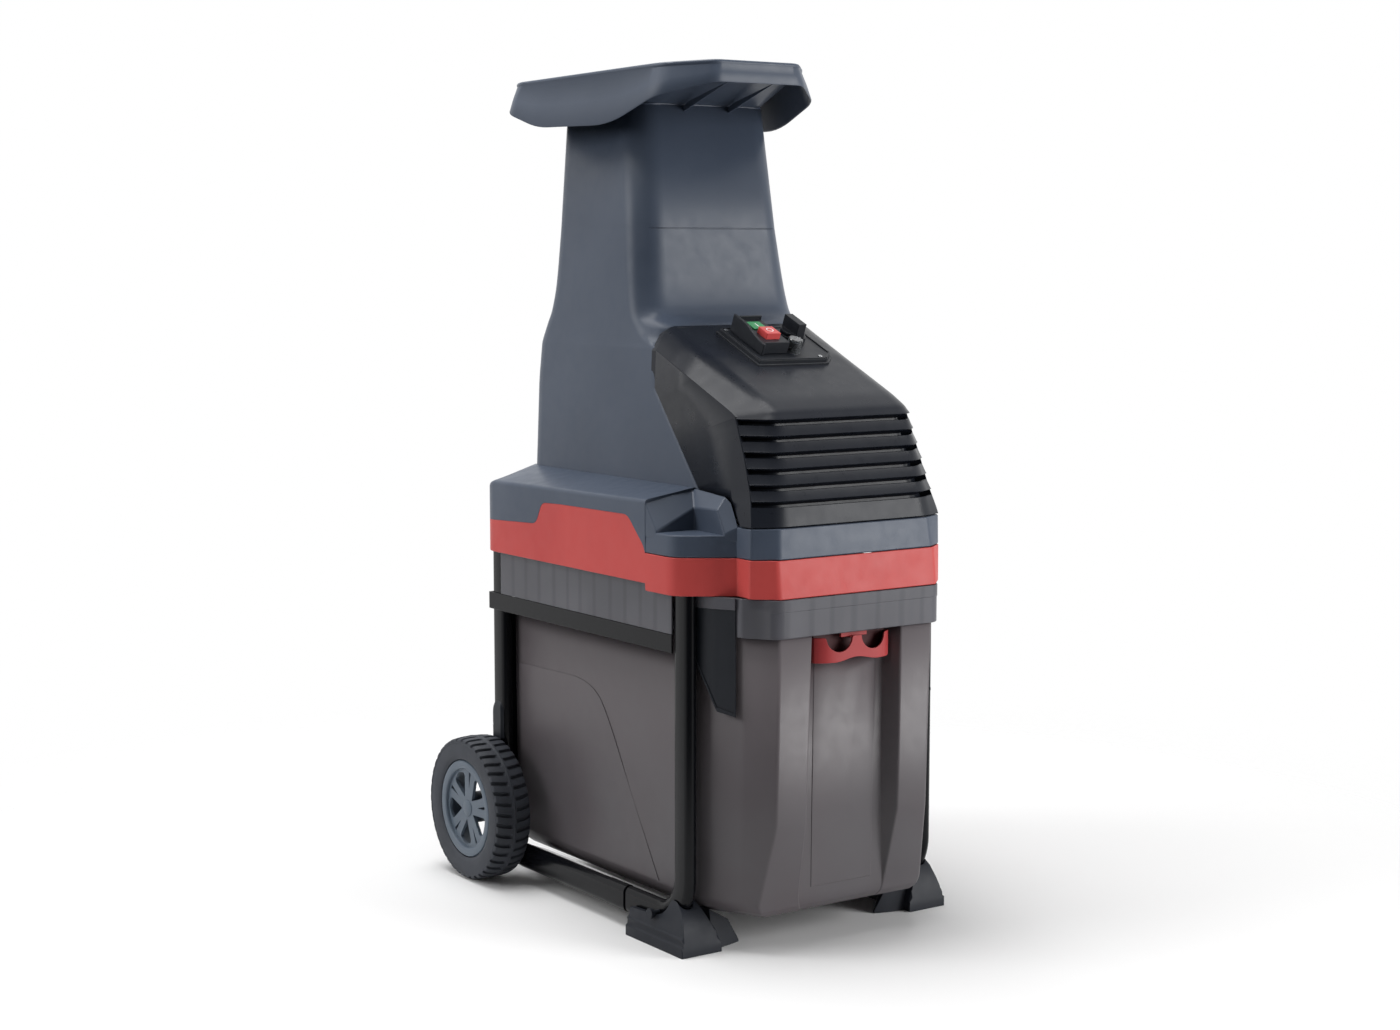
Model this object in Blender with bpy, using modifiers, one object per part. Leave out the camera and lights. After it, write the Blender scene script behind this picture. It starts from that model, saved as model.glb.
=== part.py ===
# Electric garden shredder: a crushing drum under a tall feed tower, on a wheeled tube frame with a box.
# Metres. X runs right seen from the front, Y to the back, Z up. A depth counts back from the front plane.

import math

import bmesh
import bpy
from mathutils import Matrix, Vector

# Fits, walls and the fineness of round pieces
GAP = 0.0003                  # between pieces that touch
WALL = 0.003                  # housing, base ring and motor cover
BOX_WALL = 0.0025             # collection box, its rim and the shoulder plates
ROUND = 24                    # sides of a round piece

# Base ring and housing
BODY_HALF_WIDTH = 0.187
BODY_DEPTH = 0.511
REAR_CORNER_RADIUS = 0.035
RING_BOTTOM = 0.397
RING_SIDE_RISE = 0.008        # the ring's edge is this much higher behind the ears
DECK_THICKNESS = 0.006
EAR_DEPTH = 0.142             # the ears with the hand pockets reach back this far
FRONT_HALF_WIDTH = 0.108
FRONT_SLOPE = 0.122           # lean of the front, depth per height
FRONT_TAPER = 0.073           # narrowing of the front, width per height
BAND_START = RING_BOTTOM + 0.030
BAND_TOP = RING_BOTTOM + 0.075      # top of the housing's band under the motor cover
COVER_BOTTOM = BAND_TOP + 0.0012
EAR_EDGE = RING_BOTTOM + 0.060      # outer edge of the ears
LEDGE_EDGE = RING_BOTTOM + 0.097    # outer edge of the ledge behind the ears
LEDGE_TOP = RING_BOTTOM + 0.110     # where the ledge meets the tower
LEDGE_HALF_WIDTH = 0.121
TOWER_REAR = 0.4985           # depth of the tower's rear wall at its foot
PARTING = (                   # side line between ring and housing: depth, height above the ring's bottom
    (0.000, 0.0415), (0.142, 0.0415), (0.146, 0.0500), (0.178, 0.0810),
    (0.3205, 0.0795), (0.362, 0.0780), (0.376, 0.0520), (0.482, 0.0470),
)
POCKET_FLOOR = RING_BOTTOM + 0.0645
POCKET = ((0.0478, 0.0668), (0.0155, 0.1390), (0.0478, 0.1390))   # inwards from the body's side, depth

# Tower: height, panel depth, panel half-width, ridge depth, half-width, rear depth
TOWER_TOP = 0.935
SEAM = 0.793                  # joint between the upper front panel and the housing
TOWER = (
    (TOWER_TOP, 0.2955, 0.0785, 0.3180, 0.0970, 0.4612),
    (SEAM, 0.2770, 0.0860, 0.3005, 0.1050, 0.4655),
    (0.7075, 0.2660, 0.0900, 0.2845, 0.1117, 0.4685),
    (0.6940, 0.2585, 0.0910, 0.2795, 0.1127, 0.4755),
    (0.6865, 0.2480, 0.0920, 0.2745, 0.1132, 0.4800),
    (0.6825, 0.2335, 0.0930, 0.2700, 0.1135, 0.4825),
    (0.6720, 0.2318, 0.0970, 0.2590, 0.1143, 0.4875),
    (0.6620, 0.2318, 0.1010, 0.2395, 0.1150, 0.4925),
    (0.6565, 0.2318, 0.1060, 0.2212, 0.1155, 0.4945),
    (0.6130, 0.2276, 0.1100, 0.2272, 0.1175, TOWER_REAR),
    (0.5060, 0.1346, 0.1140, 0.1342, 0.1220, TOWER_REAR),
    (0.4700, 0.1346, 0.1140, 0.1342, 0.1220, TOWER_REAR),
)
TOWER_CORNER = 0.016

# Motor cover, one row a station from its rear top edge to its front bottom edge:
# front depth and height, front half-width, then the side edge and the rear edge as width, depth, height
COVER = (
    (0.2315, 0.6820, 0.0970, (0.1200, 0.2205, 0.6560), (0.1198, 0.2209, 0.6525)),
    (0.1500, 0.6470, 0.0943, (0.1195, 0.1500, 0.6257), (0.1180, 0.2265, 0.6130)),
    (0.0600, 0.6083, 0.0917, (0.1190, 0.0830, 0.5972), (0.1187, 0.2100, 0.5940)),
    (0.0470, 0.6010, 0.0920, (0.1190, 0.0680, 0.5900), (0.1190, 0.2000, 0.5825)),
    (0.0380, 0.5955, 0.0925, (0.1193, 0.0600, 0.5840), (0.1195, 0.1900, 0.5710)),
    (0.0335, 0.5900, 0.0930, (0.1197, 0.0555, 0.5770), (0.1198, 0.1800, 0.5595)),
    (0.0225, 0.5400, 0.0960, (0.1218, 0.0455, 0.5380), (0.1220, 0.1550, 0.5307)),
    (0.0157, 0.5076, 0.0985, (0.1238, 0.0385, 0.5076), (0.1238, 0.1335, 0.5076)),
    (0.0152, 0.5058, 0.0987, (0.1240, 0.0381, 0.5058), (0.1245, 0.0760, 0.5058)),
    (0.0089, COVER_BOTTOM, 0.1010, (0.1310, 0.0330, COVER_BOTTOM), (0.1310, 0.0530, COVER_BOTTOM)),
)
LOUVRES = 6
LOUVRE_LOWEST = 0.4975
LOUVRE_PITCH = 0.0172
LOUVRE_HEIGHT = 0.006
LOUVRE_HALF_WIDTH = 0.108
LOUVRE_REACH = 0.021          # how far a slot reaches back from the cover's front

# Control plate on the cover's slope, in its own frame: X across, Y up the slope, Z out of it
PANEL_X = 0.014
PANEL_DEPTH = 0.1725
PLATE_WIDTH = 0.108
PLATE_LENGTH = 0.086
PLATE_THICKNESS = 0.006
PLATE_NOTCH = 0.014
BUTTON_SIZE = 0.019
BUTTON_TRAVEL = 0.003
BUTTON_CLEARANCE = 0.0004
BUTTONS = (                   # name, place along the slope, colour, height over the switch housing
    ("stop", -0.0125, "red", 0.0070), ("start", 0.0125, "green", 0.0015),
)
SWITCH_AT = (-0.024, 0.004)
SWITCH_BLOCK = (0.018, 0.031, 0.014)   # half-width, half-length and height of the buttons' housing
SWITCH_FLOOR = 0.003
SELECTOR_AT = (0.026, 0.012)
SELECTOR_BASE = (0.0165, 0.006)        # radius and height
SELECTOR_DISC = (0.0145, 0.004)
SELECTOR_BAR = (0.0055, 0.015, 0.018)  # half-width, half-length and height
RESET_AT = (0.005, -0.022)
RESET_RADIUS = 0.0045
RESET_TRAVEL = 0.002
RESET_HEIGHT = 0.0115
COLLAR_RADIUS = 0.0062        # guide round the reset button
COLLAR_HEIGHT = 0.006
CAP_OUTER = 0.0085            # clear cap over the reset button
CAP_WALL = 0.0013
CAP_TOP = 0.016

# Hopper: width, depth and height of the rim and of the lip's lower edge, from the front to the rear
HOPPER_RIM = (
    (0.0000, 0.1925, 0.9800), (0.0580, 0.1925, 0.9800), (0.1000, 0.2405, 0.9776), (0.1109, 0.3200, 0.9750),
    (0.1288, 0.4520, 0.9705), (0.1345, 0.4950, 0.9692), (0.1275, 0.5150, 0.9685), (0.0000, 0.5150, 0.9685),
)
HOPPER_LIP = (
    (0.0000, 0.1875, 0.9550), (0.0610, 0.1875, 0.9550), (0.1120, 0.2355, 0.9400), (0.1220, 0.3165, 0.9110),
    (0.1380, 0.4495, 0.9130), (0.1445, 0.5010, 0.9300), (0.1365, 0.5175, 0.9355), (0.0000, 0.5175, 0.9355),
)
RIM_WIDTH = 0.006
NECK_LENGTH = 0.040           # the hopper's neck inside the tower

BOX_TOP = RING_BOTTOM - 0.0005
BOX_EDGE = BOX_TOP - 0.0010   # the box ends this much below its rim

# Collection box: height, groove depth and half-width, column inner edge, column depth and outer edge,
# corner point and side, both inwards from the body's side, side start, rear depth
BOX = (
    (BOX_EDGE, 0.0256, 0.0520, 0.0616, 0.0030, 0.1050, (0.0595, 0.0345), 0.0335, 0.0900, 0.4860),
    (0.1455, 0.0295, 0.0550, 0.0640, 0.0100, 0.1050, (0.0600, 0.0425), 0.0345, 0.0940, 0.4845),
    (0.0560, 0.0305, 0.0590, 0.0600, 0.0295, 0.1140, (0.0620, 0.0460), 0.0370, 0.0960, 0.4820),
    (0.0480, 0.0315, 0.0570, 0.0580, 0.0305, 0.1110, (0.0660, 0.0495), 0.0410, 0.0980, 0.4775),
    (0.0420, 0.0360, 0.0530, 0.0540, 0.0350, 0.1050, (0.0730, 0.0560), 0.0480, 0.1040, 0.4700),
)
BOX_CORNER = 0.004
RIM_HEIGHT = 0.0425
# A shoulder plate's plan line: its two ends, inwards from the body's side, depth
SHOULDER = ((0.0505, 0.0420), (0.0307, 0.0790))
SHOULDER_THICKNESS = 0.002
SHOULDER_TIP = BOX_TOP - 0.1290
SHOULDER_EDGE = BOX_TOP - 0.0845

# Latch on the box
LATCH_DEPTH = 0.0100
LATCH_THICKNESS = 0.0032
LATCH_HALF_WIDTH = 0.052
LATCH_HEIGHT = 0.028
LATCH_TOP = BOX_TOP - 0.0475
LATCH_BOTTOM = LATCH_TOP - LATCH_HEIGHT
LATCH_TONGUE = 0.018          # half-width of the tongue that reaches up to the interlock
SCALLOP_RADIUS = 0.011
SCALLOP_DEPTH = 0.002
SCALLOP_X = 0.022

# Frame of flat-oval tube
TUBE_X = BODY_HALF_WIDTH - 0.021
TUBE_WIDTH = 0.015
TUBE_DEPTH = 0.030
TUBE_WALL = 0.0015
BEND_RADIUS = 0.050
FRONT_UPRIGHT = 0.0945        # depths of the uprights
REAR_UPRIGHT = 0.492
RUN_HEIGHT = 0.033            # height of the tube's run along the ground
FRAME_JOINT = FRONT_UPRIGHT + 0.1605
FRAME_TOP = RING_BOTTOM + RING_SIDE_RISE - GAP
CROSS_HEIGHT = FRAME_TOP - 0.0447
CROSS_RADIUS = 0.0075
STRIP_THICKNESS = 0.0019
RAIL_TOP = FRAME_TOP - 0.0527
RAIL_HEIGHT = 0.021
STRIP_START = FRONT_UPRIGHT + 0.0125
BAND_END = REAR_UPRIGHT - 0.012

# Wheels and axle
AXLE_DEPTH = REAR_UPRIGHT + 0.003
AXLE_RADIUS = 0.0055
TYRE_RADIUS = 0.088
TYRE_WIDTH = 0.047
TYRE_SHOULDER = 0.009         # how far the tyre's sides lie below its lugs
TREAD_DEPTH = 0.005
LUGS = 16
RIM_RADIUS = 0.062
RIM_FLANGE = 0.0035
RIM_HALF_WIDTH = 0.021
RIM_BEAD = 0.004              # how far the tyre's beads stand out over the rim's edges
HUB_RADIUS = 0.019
HUB_INNER = -0.0235           # ends of the hub and faces of the spoke web, outwards from the wheel's middle
HUB_OUTER = 0.0145
WEB = (0.003, 0.010)
SPOKES = 5
CAP_RADIUS = 0.012
CAP_HEIGHT = 0.006
WHEEL_X = TUBE_X + TUBE_WIDTH / 2 + 0.003 + TYRE_WIDTH / 2

# Feet
FOOT_START = FRONT_UPRIGHT - 0.024
FOOT_END = FRONT_UPRIGHT + 0.091
FOOT_OUTER = TUBE_X + 0.021
FOOT_INNER = TUBE_X - 0.031
FOOT_TOP = 0.080
FIN_REACH = 0.038             # how far the pointed fin reaches in from the foot
FIN_THICKNESS = 0.011
BOLT_RADIUS = 0.003
BOLT_HEAD = 0.006             # radius of a bolt's head
BOLT_DEPTH = FRONT_UPRIGHT + 0.0405
BOLT_HEIGHT = RUN_HEIGHT + 0.003

# Crushing drum and its cast housing
DRUM_X = -0.008
DRUM_Z = 0.470
DRUM_REAR_ROOM = 0.0255       # from the drum housing's back to the rear wall
DRUM_LENGTH = 0.147
DRUM_RADIUS = 0.043
DRUM_TEETH = 8
DRUM_TOOTH = 0.0086           # height of a tooth of the drum
CHAMBER_LENGTH = 0.150
CHAMBER_HALF_WIDTH = 0.055
CHAMBER_WALL = 0.015
CHAMBER_TOP = 0.530
SHAFT_RADIUS = 0.008
BEARING_RADIUS = 0.016
BEARING_WIDTH = 0.012
PLATE_GAP = 0.007             # drum to pressure plate when wide open
PRESS_THICKNESS = 0.008
PRESS_INSET = 0.030           # from the deck up to the plate, and from the plate up to the chamber's top
SCREW_RADIUS = 0.006
KNOB_RADIUS = 0.018
KNOB_LENGTH = 0.017
KNOB_FLUTES = 6
FLUTE_RADIUS = 0.004
CHUTE_TOP_HALF = (0.086, 0.072)
CHUTE_REAR_ROOM = 0.0072      # from the chute's top to the rear wall
CHUTE_BEND = 0.680            # height where the chute starts to narrow
CHUTE_CORNER = 0.012

# Gear train: motor pinion, intermediate gear, intermediate pinion, drum gear
FINE_MODULE = 0.00125
COARSE_MODULE = 0.002
TOOTH_TIP = 0.80              # a tooth's height over the pitch circle and depth under it, in modules
TOOTH_ROOT = 1.15
MOTOR_PINION_TEETH = 9
FIRST_GEAR_TEETH = 54
SECOND_PINION_TEETH = 9
DRUM_GEAR_TEETH = 50
LAY_ANGLE = math.radians(30)
MOTOR_X = 0.010
MOTOR_RADIUS = 0.056
MOTOR_LENGTH = 0.120
ROTOR_RADIUS = 0.0325
MOTOR_WALL = 0.004
MOTOR_END = 0.006             # thickness of the motor's rear end shield
STACK_START = 0.014           # the stator's iron, back from the motor's front
STACK_END = 0.100
AIR_GAP = 0.0005
GEARBOX_WALL = 0.005
GEARBOX_CORNER = 0.012
GEAR_ROOM = 0.002             # between the gears and the gearbox's walls
GEARBOX_DEPTH = 0.078         # from the motor flange to the drum housing
FAN_RADIUS = 0.044
FAN_BLADES = 8
FAN_START = -0.022            # ahead of the motor's front
FAN_DISC = 0.003
BLADE_THICKNESS = 0.0016
BLADE_END = -0.008

# Safety switch under the box's rim, mains inlet and capacitor
PLUNGER_RADIUS = 0.0035
PLUNGER_DEPTH = LATCH_DEPTH + LATCH_THICKNESS / 2
PLUNGER_TRAVEL = 0.003
SWITCH_HALF_WIDTH = 0.014
SWITCH_HEIGHT = 0.022
PLUNGER_BORE_DEPTH = 0.012    # blind bore of the plunger in the switch
INLET_RADIUS = 0.020
INLET_HEIGHT = LEDGE_TOP + 0.053
INLET_REACH = 0.022           # how far the inlet reaches into the housing
INLET_COLLAR = 0.016
CAPACITOR_AT = (0.097 - BODY_HALF_WIDTH, 0.140)
CAPACITOR_RADIUS = 0.018
CAPACITOR_LENGTH = 0.070

# Where things lie that follow from the sizes above
DECK_BOTTOM = RING_BOTTOM + RING_SIDE_RISE
DECK_TOP = DECK_BOTTOM + DECK_THICKNESS
TOTAL_DEPTH = AXLE_DEPTH + TYRE_RADIUS
SIDES = (("left", -1, "-X"), ("right", 1, "X"))
CHUTE_TOP_DEPTH = TOWER[0][-1] - WALL - CHUTE_REAR_ROOM - CHUTE_TOP_HALF[1]
DRUM_DEPTH = TOWER_REAR - WALL - DRUM_REAR_ROOM - CHAMBER_WALL - CHAMBER_LENGTH / 2
SCREW_DEPTH = DRUM_DEPTH + 0.010
GEARBOX_BACK = DRUM_DEPTH - CHAMBER_LENGTH / 2 - CHAMBER_WALL - GAP
GEARBOX_FRONT = GEARBOX_BACK - GEARBOX_DEPTH
FINE_PLANE = (GEARBOX_FRONT + 0.014, GEARBOX_FRONT + 0.030)      # depths of the motor pinion and its gear
COARSE_PLANE = (GEARBOX_FRONT + 0.040, GEARBOX_FRONT + 0.066)
FIRST_CENTRES = FINE_MODULE * (MOTOR_PINION_TEETH + FIRST_GEAR_TEETH) / 2
SECOND_CENTRES = COARSE_MODULE * (SECOND_PINION_TEETH + DRUM_GEAR_TEETH) / 2
LAY_X = DRUM_X + SECOND_CENTRES * math.cos(LAY_ANGLE)
LAY_Z = DRUM_Z + SECOND_CENTRES * math.sin(LAY_ANGLE)
LAY_SHAFT_RADIUS = COARSE_MODULE * SECOND_PINION_TEETH / 2 - TOOTH_ROOT * COARSE_MODULE - 0.0008
MOTOR_Z = LAY_Z + math.sqrt(FIRST_CENTRES ** 2 - (LAY_X - MOTOR_X) ** 2)
MOTOR_BACK = GEARBOX_FRONT - GAP
MOTOR_FRONT = MOTOR_BACK - MOTOR_LENGTH
MOTOR_SHAFT_RADIUS = FINE_MODULE * MOTOR_PINION_TEETH / 2 - TOOTH_ROOT * FINE_MODULE - 0.0002

# Turns that lay a piece's own Z axis along an axis, or against it
TURNS = {
    "X": (0, math.pi / 2, 0), "-X": (0, -math.pi / 2, 0),
    "Y": (-math.pi / 2, 0, 0), "-Y": (math.pi / 2, 0, 0), "Z": (0, 0, 0),
}

# Finishes: sRGB colour, roughness, metallic
FINISHES = {
    "housing": ((0.29, 0.33, 0.37), 0.45, 0.0),
    "red": ((0.73, 0.24, 0.24), 0.45, 0.0),
    "black": ((0.13, 0.14, 0.17), 0.40, 0.0),
    "smoke": ((0.37, 0.35, 0.35), 0.35, 0.0),
    "tube": ((0.11, 0.12, 0.14), 0.25, 0.0),
    "tyre": ((0.18, 0.19, 0.21), 0.80, 0.0),
    "green": ((0.20, 0.55, 0.30), 0.40, 0.0),
    "clear": ((0.80, 0.82, 0.84), 0.10, 0.0),
    "steel": ((0.60, 0.60, 0.60), 0.35, 1.0),
    "cast": ((0.45, 0.45, 0.46), 0.60, 1.0),
    "copper": ((0.62, 0.36, 0.22), 0.45, 1.0),
}


def start_scene():
    """Empties the scene and makes the two collections and the empty that carries every piece."""
    for obj in list(bpy.data.objects):
        bpy.data.objects.remove(obj)
    made = []
    for title in ("garden_shredder", "cutters"):
        collection = bpy.data.collections.new(title)
        bpy.context.scene.collection.children.link(collection)
        made.append(collection)
    carrier = bpy.data.objects.new("front_plane", None)
    carrier.location = (0, -TOTAL_DEPTH / 2, 0)
    made[0].objects.link(carrier)
    return made[0], made[1], carrier


PARTS, CUTTERS, CARRIER = start_scene()


def linear(channel):
    return channel / 12.92 if channel <= 0.04045 else ((channel + 0.055) / 1.055) ** 2.4


def paint(name, finish):
    """A material of its own for one piece."""
    colour, roughness, metallic = FINISHES[finish]
    material = bpy.data.materials.new(name + "_" + finish)
    material.use_nodes = True
    shader = material.node_tree.nodes["Principled BSDF"]
    shader.inputs["Base Color"].default_value = (*map(linear, colour), 1)
    shader.inputs["Roughness"].default_value = roughness
    shader.inputs["Metallic"].default_value = metallic
    return material


def register(obj, finish, parent):
    """Puts an object with the parts, or with the cutters where it has no finish."""
    obj.parent = parent or CARRIER
    if finish:
        PARTS.objects.link(obj)
        obj.data.materials.append(paint(obj.name, finish))
    else:
        CUTTERS.objects.link(obj)
        obj.hide_render = True
        obj.display_type = "WIRE"
    return obj


def solid(name, bm, finish=None, place=(0, 0, 0), parent=None):
    """Turns a bmesh into an object, welded, with its faces pointing out."""
    bmesh.ops.remove_doubles(bm, verts=bm.verts, dist=1e-6)
    bmesh.ops.recalc_face_normals(bm, faces=bm.faces)
    mesh = bpy.data.meshes.new(name)
    bm.to_mesh(mesh)
    bm.free()
    mesh.shade_smooth()
    mesh.set_sharp_from_angle(angle=math.radians(30))
    obj = bpy.data.objects.new(name, mesh)
    obj.location = place
    return register(obj, finish, parent)


def boolean(obj, other, operation="DIFFERENCE"):
    """Cuts or joins. The housing's near-level faces break the exact solver, so it has the manifold one."""
    modifier = obj.modifiers.new(other.name, "BOOLEAN")
    modifier.operation = operation
    modifier.solver = "MANIFOLD" if obj.name == "main_housing" else "EXACT"
    modifier.object = other
    return obj


def add_block(bm, low, high):
    """Adds a block between two corners to a bmesh."""
    corners = bmesh.ops.create_cube(bm, size=1)["verts"]
    bmesh.ops.scale(bm, vec=Vector(high) - Vector(low), verts=corners)
    bmesh.ops.translate(bm, vec=(Vector(high) + Vector(low)) / 2, verts=corners)


def box(name, low, high, finish=None, place=(0, 0, 0), parent=None):
    bm = bmesh.new()
    add_block(bm, low, high)
    return solid(name, bm, finish, place, parent)


def cylinder(name, radius, length, centre, axis, finish=None, sides=ROUND, parent=None):
    """A cylinder along an axis, with its origin at its centre."""
    bm = bmesh.new()
    bmesh.ops.create_cone(bm, cap_ends=True, segments=sides, radius1=radius, radius2=radius, depth=length)
    obj = solid(name, bm, finish, centre, parent)
    obj.rotation_euler = TURNS[axis]
    return obj


def turned(name, profile, centre, axis, finish=None, sides=ROUND, loop=False, parent=None):
    """A profile of radius and height turned about an axis, closed where loop is set."""
    mesh = bpy.data.meshes.new(name)
    points = [(radius, 0, height) for radius, height in profile]
    edges = [(i, i + 1) for i in range(len(points) - 1)]
    if loop:
        edges.append((len(points) - 1, 0))
    mesh.from_pydata(points, edges, [])
    obj = bpy.data.objects.new(name, mesh)
    obj.location = centre
    obj.rotation_euler = TURNS[axis]
    screw = obj.modifiers.new("turn", "SCREW")
    screw.axis = "Z"
    screw.steps = sides
    screw.render_steps = sides
    screw.use_merge_vertices = True
    screw.merge_threshold = 0.00001
    return register(obj, finish, parent)


def ring_profile(outer, inner, bottom, top):
    """The four corners of a plain ring, for turned with loop set."""
    return [(inner, top), (outer, top), (outer, bottom), (inner, bottom)]


def loft(name, rings, finish=None, closed=False, place=(0, 0, 0), parent=None):
    """Joins rings of as many points each, with both ends capped or joined to each other."""
    bm = bmesh.new()
    rows = [[bm.verts.new(point) for point in ring] for ring in rings]
    pairs = list(zip(rows, rows[1:]))
    if closed:
        pairs.append((rows[-1], rows[0]))
    else:
        bm.faces.new(rows[0])
        bm.faces.new(rows[-1])
    for lower, upper in pairs:
        for i, start in enumerate(lower):
            j = (i + 1) % len(lower)
            bm.faces.new((start, lower[j], upper[j], upper[i]))
    return solid(name, bm, finish, place, parent)


def prism(name, outline, axis, low, high, finish=None, place=(0, 0, 0), parent=None):
    """A flat outline drawn out along an axis. Its points leave out that axis's own coordinate."""
    index = "XYZ".index(axis)
    rings = [[(*point[:index], level, *point[index:]) for point in outline] for level in (low, high)]
    return loft(name, rings, finish, place=place, parent=parent)


def arc(centre, radius, start, end, steps):
    """Points on an arc, from one angle in degrees to another."""
    angles = [math.radians(start + (end - start) * i / steps) for i in range(steps + 1)]
    return [(centre[0] + radius * math.cos(a), centre[1] + radius * math.sin(a)) for a in angles]


def both_sides(half):
    """A half outline that starts and ends at the middle, with its mirror image."""
    return list(half) + [(-point[0], *point[1:]) for point in reversed(half[1:-1])]


def inset(ring, distance):
    """Moves an outline, anticlockwise from above, inwards in plan."""
    moved = []
    for before, here, after in zip(ring[-1:] + ring[:-1], ring, ring[1:] + ring[:1]):
        first = Vector((here[0] - before[0], here[1] - before[1])).normalized().orthogonal()
        second = Vector((after[0] - here[0], after[1] - here[1])).normalized().orthogonal()
        shift = (first + second) * (distance / (1 + first.dot(second)))
        moved.append((here[0] + shift.x, here[1] + shift.y, *here[2:]))
    return moved


def at_height(outline, height):
    return [(x, y, height) for x, y in outline]


def rounded(points, radius, steps=3):
    """Rounds each corner of an outline with short chords of an arc."""
    smooth = []
    for before, here, after in zip(points[-1:] + points[:-1], points, points[1:] + points[:1]):
        start = Vector(here) + (Vector(before) - Vector(here)).normalized() * radius
        end = Vector(here) + (Vector(after) - Vector(here)).normalized() * radius
        for i in range(steps + 1):
            t = i / steps
            point = start * (1 - t) ** 2 + Vector(here) * 2 * t * (1 - t) + end * t * t
            smooth.append(tuple(point))
    return smooth


def rectangle(half_width, half_length, centre=(0, 0)):
    x, y = centre
    return [(x - half_width, y - half_length), (x + half_width, y - half_length),
            (x + half_width, y + half_length), (x - half_width, y + half_length)]


# Base ring and housing

def footprint(height):
    """Plan of the ring and the housing's skirt at a height."""
    rise = height - RING_BOTTOM
    front = FRONT_SLOPE * rise
    half = BODY_HALF_WIDTH
    corner = (half - REAR_CORNER_RADIUS, BODY_DEPTH - REAR_CORNER_RADIUS)
    outline = [
        (0, front),
        (FRONT_HALF_WIDTH - FRONT_TAPER * rise, front),
        (half - 0.055 - FRONT_TAPER * rise, 0.024 + front),
        (half - 0.049 - 0.02 * rise, 0.036 + front),
        (half - 0.011 - 0.02 * rise, 0.068 + 0.6 * front),
        (half - 0.002, 0.083 + 0.4 * front),
        (half, 0.100 + 0.4 * front),
        *arc(corner, REAR_CORNER_RADIUS, 0, 90, 3),
        (0, BODY_DEPTH),
    ]
    return both_sides(outline)


def parting_prism(name, shift, far):
    """Everything on one side of the parting line, as a cutter."""
    line = [(depth, RING_BOTTOM + height + shift) for depth, height in PARTING]
    start, end = line[0], line[-1]
    outline = [(-0.1, start[1]), *line[1:], (BODY_DEPTH + 0.1, end[1]), (BODY_DEPTH + 0.1, far), (-0.1, far)]
    return prism(name, outline, "X", -0.3, 0.3)


def build_base_ring():
    ring = loft("base_ring", [at_height(footprint(z), z) for z in (RING_BOTTOM, LEDGE_EDGE)], "red")
    boolean(ring, parting_prism("above_parting", -GAP / 2, 0.6))
    levels = (DECK_TOP, LEDGE_EDGE + 0.02)
    boolean(ring, loft("ring_inside", [inset(at_height(footprint(z), z), WALL) for z in levels]))
    levels = (RING_BOTTOM - 0.01, DECK_BOTTOM)
    boolean(ring, loft("ring_underside", [inset(at_height(footprint(RING_BOTTOM), z), WALL) for z in levels]))
    rear = (EAR_DEPTH, RING_BOTTOM - 0.01)
    boolean(ring, box("side_step", (-0.3, rear[0], rear[1]), (0.3, BODY_DEPTH + 0.1, DECK_BOTTOM)))
    start = DRUM_DEPTH - CHAMBER_LENGTH / 2
    boolean(ring, box("discharge", (-CHAMBER_HALF_WIDTH, start, DECK_BOTTOM - 0.02),
                      (CHAMBER_HALF_WIDTH, start + CHAMBER_LENGTH, DECK_TOP + 0.02)))
    place = (0, PLUNGER_DEPTH, DECK_TOP)
    boolean(ring, cylinder("plunger_hole", PLUNGER_RADIUS + GAP, 0.1, place, "Z", sides=12))


def tower_outline(row):
    height, panel, panel_half, ridge, half, rear = row
    corner = (half - TOWER_CORNER, rear - TOWER_CORNER)
    rear_corner = arc(corner, TOWER_CORNER, 0, 90, 2)
    outline = [(0, panel), (panel_half, panel), (half, ridge), *rear_corner, (0, rear)]
    return at_height(both_sides(outline), height)


def tower_row(height):
    """The tower's row of sizes at any height, read between the given rows."""
    for upper, lower in zip(TOWER, TOWER[1:]):
        if lower[0] <= height <= upper[0]:
            share = (height - lower[0]) / (upper[0] - lower[0])
            return tuple(low + (high - low) * share for high, low in zip(upper, lower))
    nearest = TOWER[0] if height > TOWER[0][0] else TOWER[-1]
    return (height, *nearest[1:])


def tower_shell(name, rows, distance, finish=None):
    return loft(name, [inset(tower_outline(row), distance) for row in rows], finish)


def skirt_plan(start):
    """Half of the skirt's plan from a depth to the rear."""
    corner = (BODY_HALF_WIDTH - REAR_CORNER_RADIUS, BODY_DEPTH - REAR_CORNER_RADIUS)
    return [(0, start), (BODY_HALF_WIDTH, start), *arc(corner, REAR_CORNER_RADIUS, 0, 90, 3), (0, BODY_DEPTH)]


def skirt_block():
    """The housing's skirt behind the ears, with its ledge."""
    low = skirt_plan(EAR_DEPTH)
    drops = (0.003, 0.003, -0.0025, -0.006, -0.009, -0.011, -0.011)
    edge = [(x, y, LEDGE_EDGE + drop) for (x, y), drop in zip(low, drops)]
    inner = (LEDGE_HALF_WIDTH, LEDGE_HALF_WIDTH - 0.002, LEDGE_HALF_WIDTH - 0.007, LEDGE_HALF_WIDTH - 0.016)
    depths = (TOWER_REAR - 0.0185, TOWER_REAR - 0.0075, TOWER_REAR - 0.002, TOWER_REAR)
    top = [(0, EAR_DEPTH), (LEDGE_HALF_WIDTH, EAR_DEPTH), *zip(inner, depths), (0, depths[-1])]
    rings = [at_height(low, BAND_START), edge, at_height(top, LEDGE_TOP)]
    return loft("skirt_block", [both_sides(ring) for ring in rings])


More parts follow.
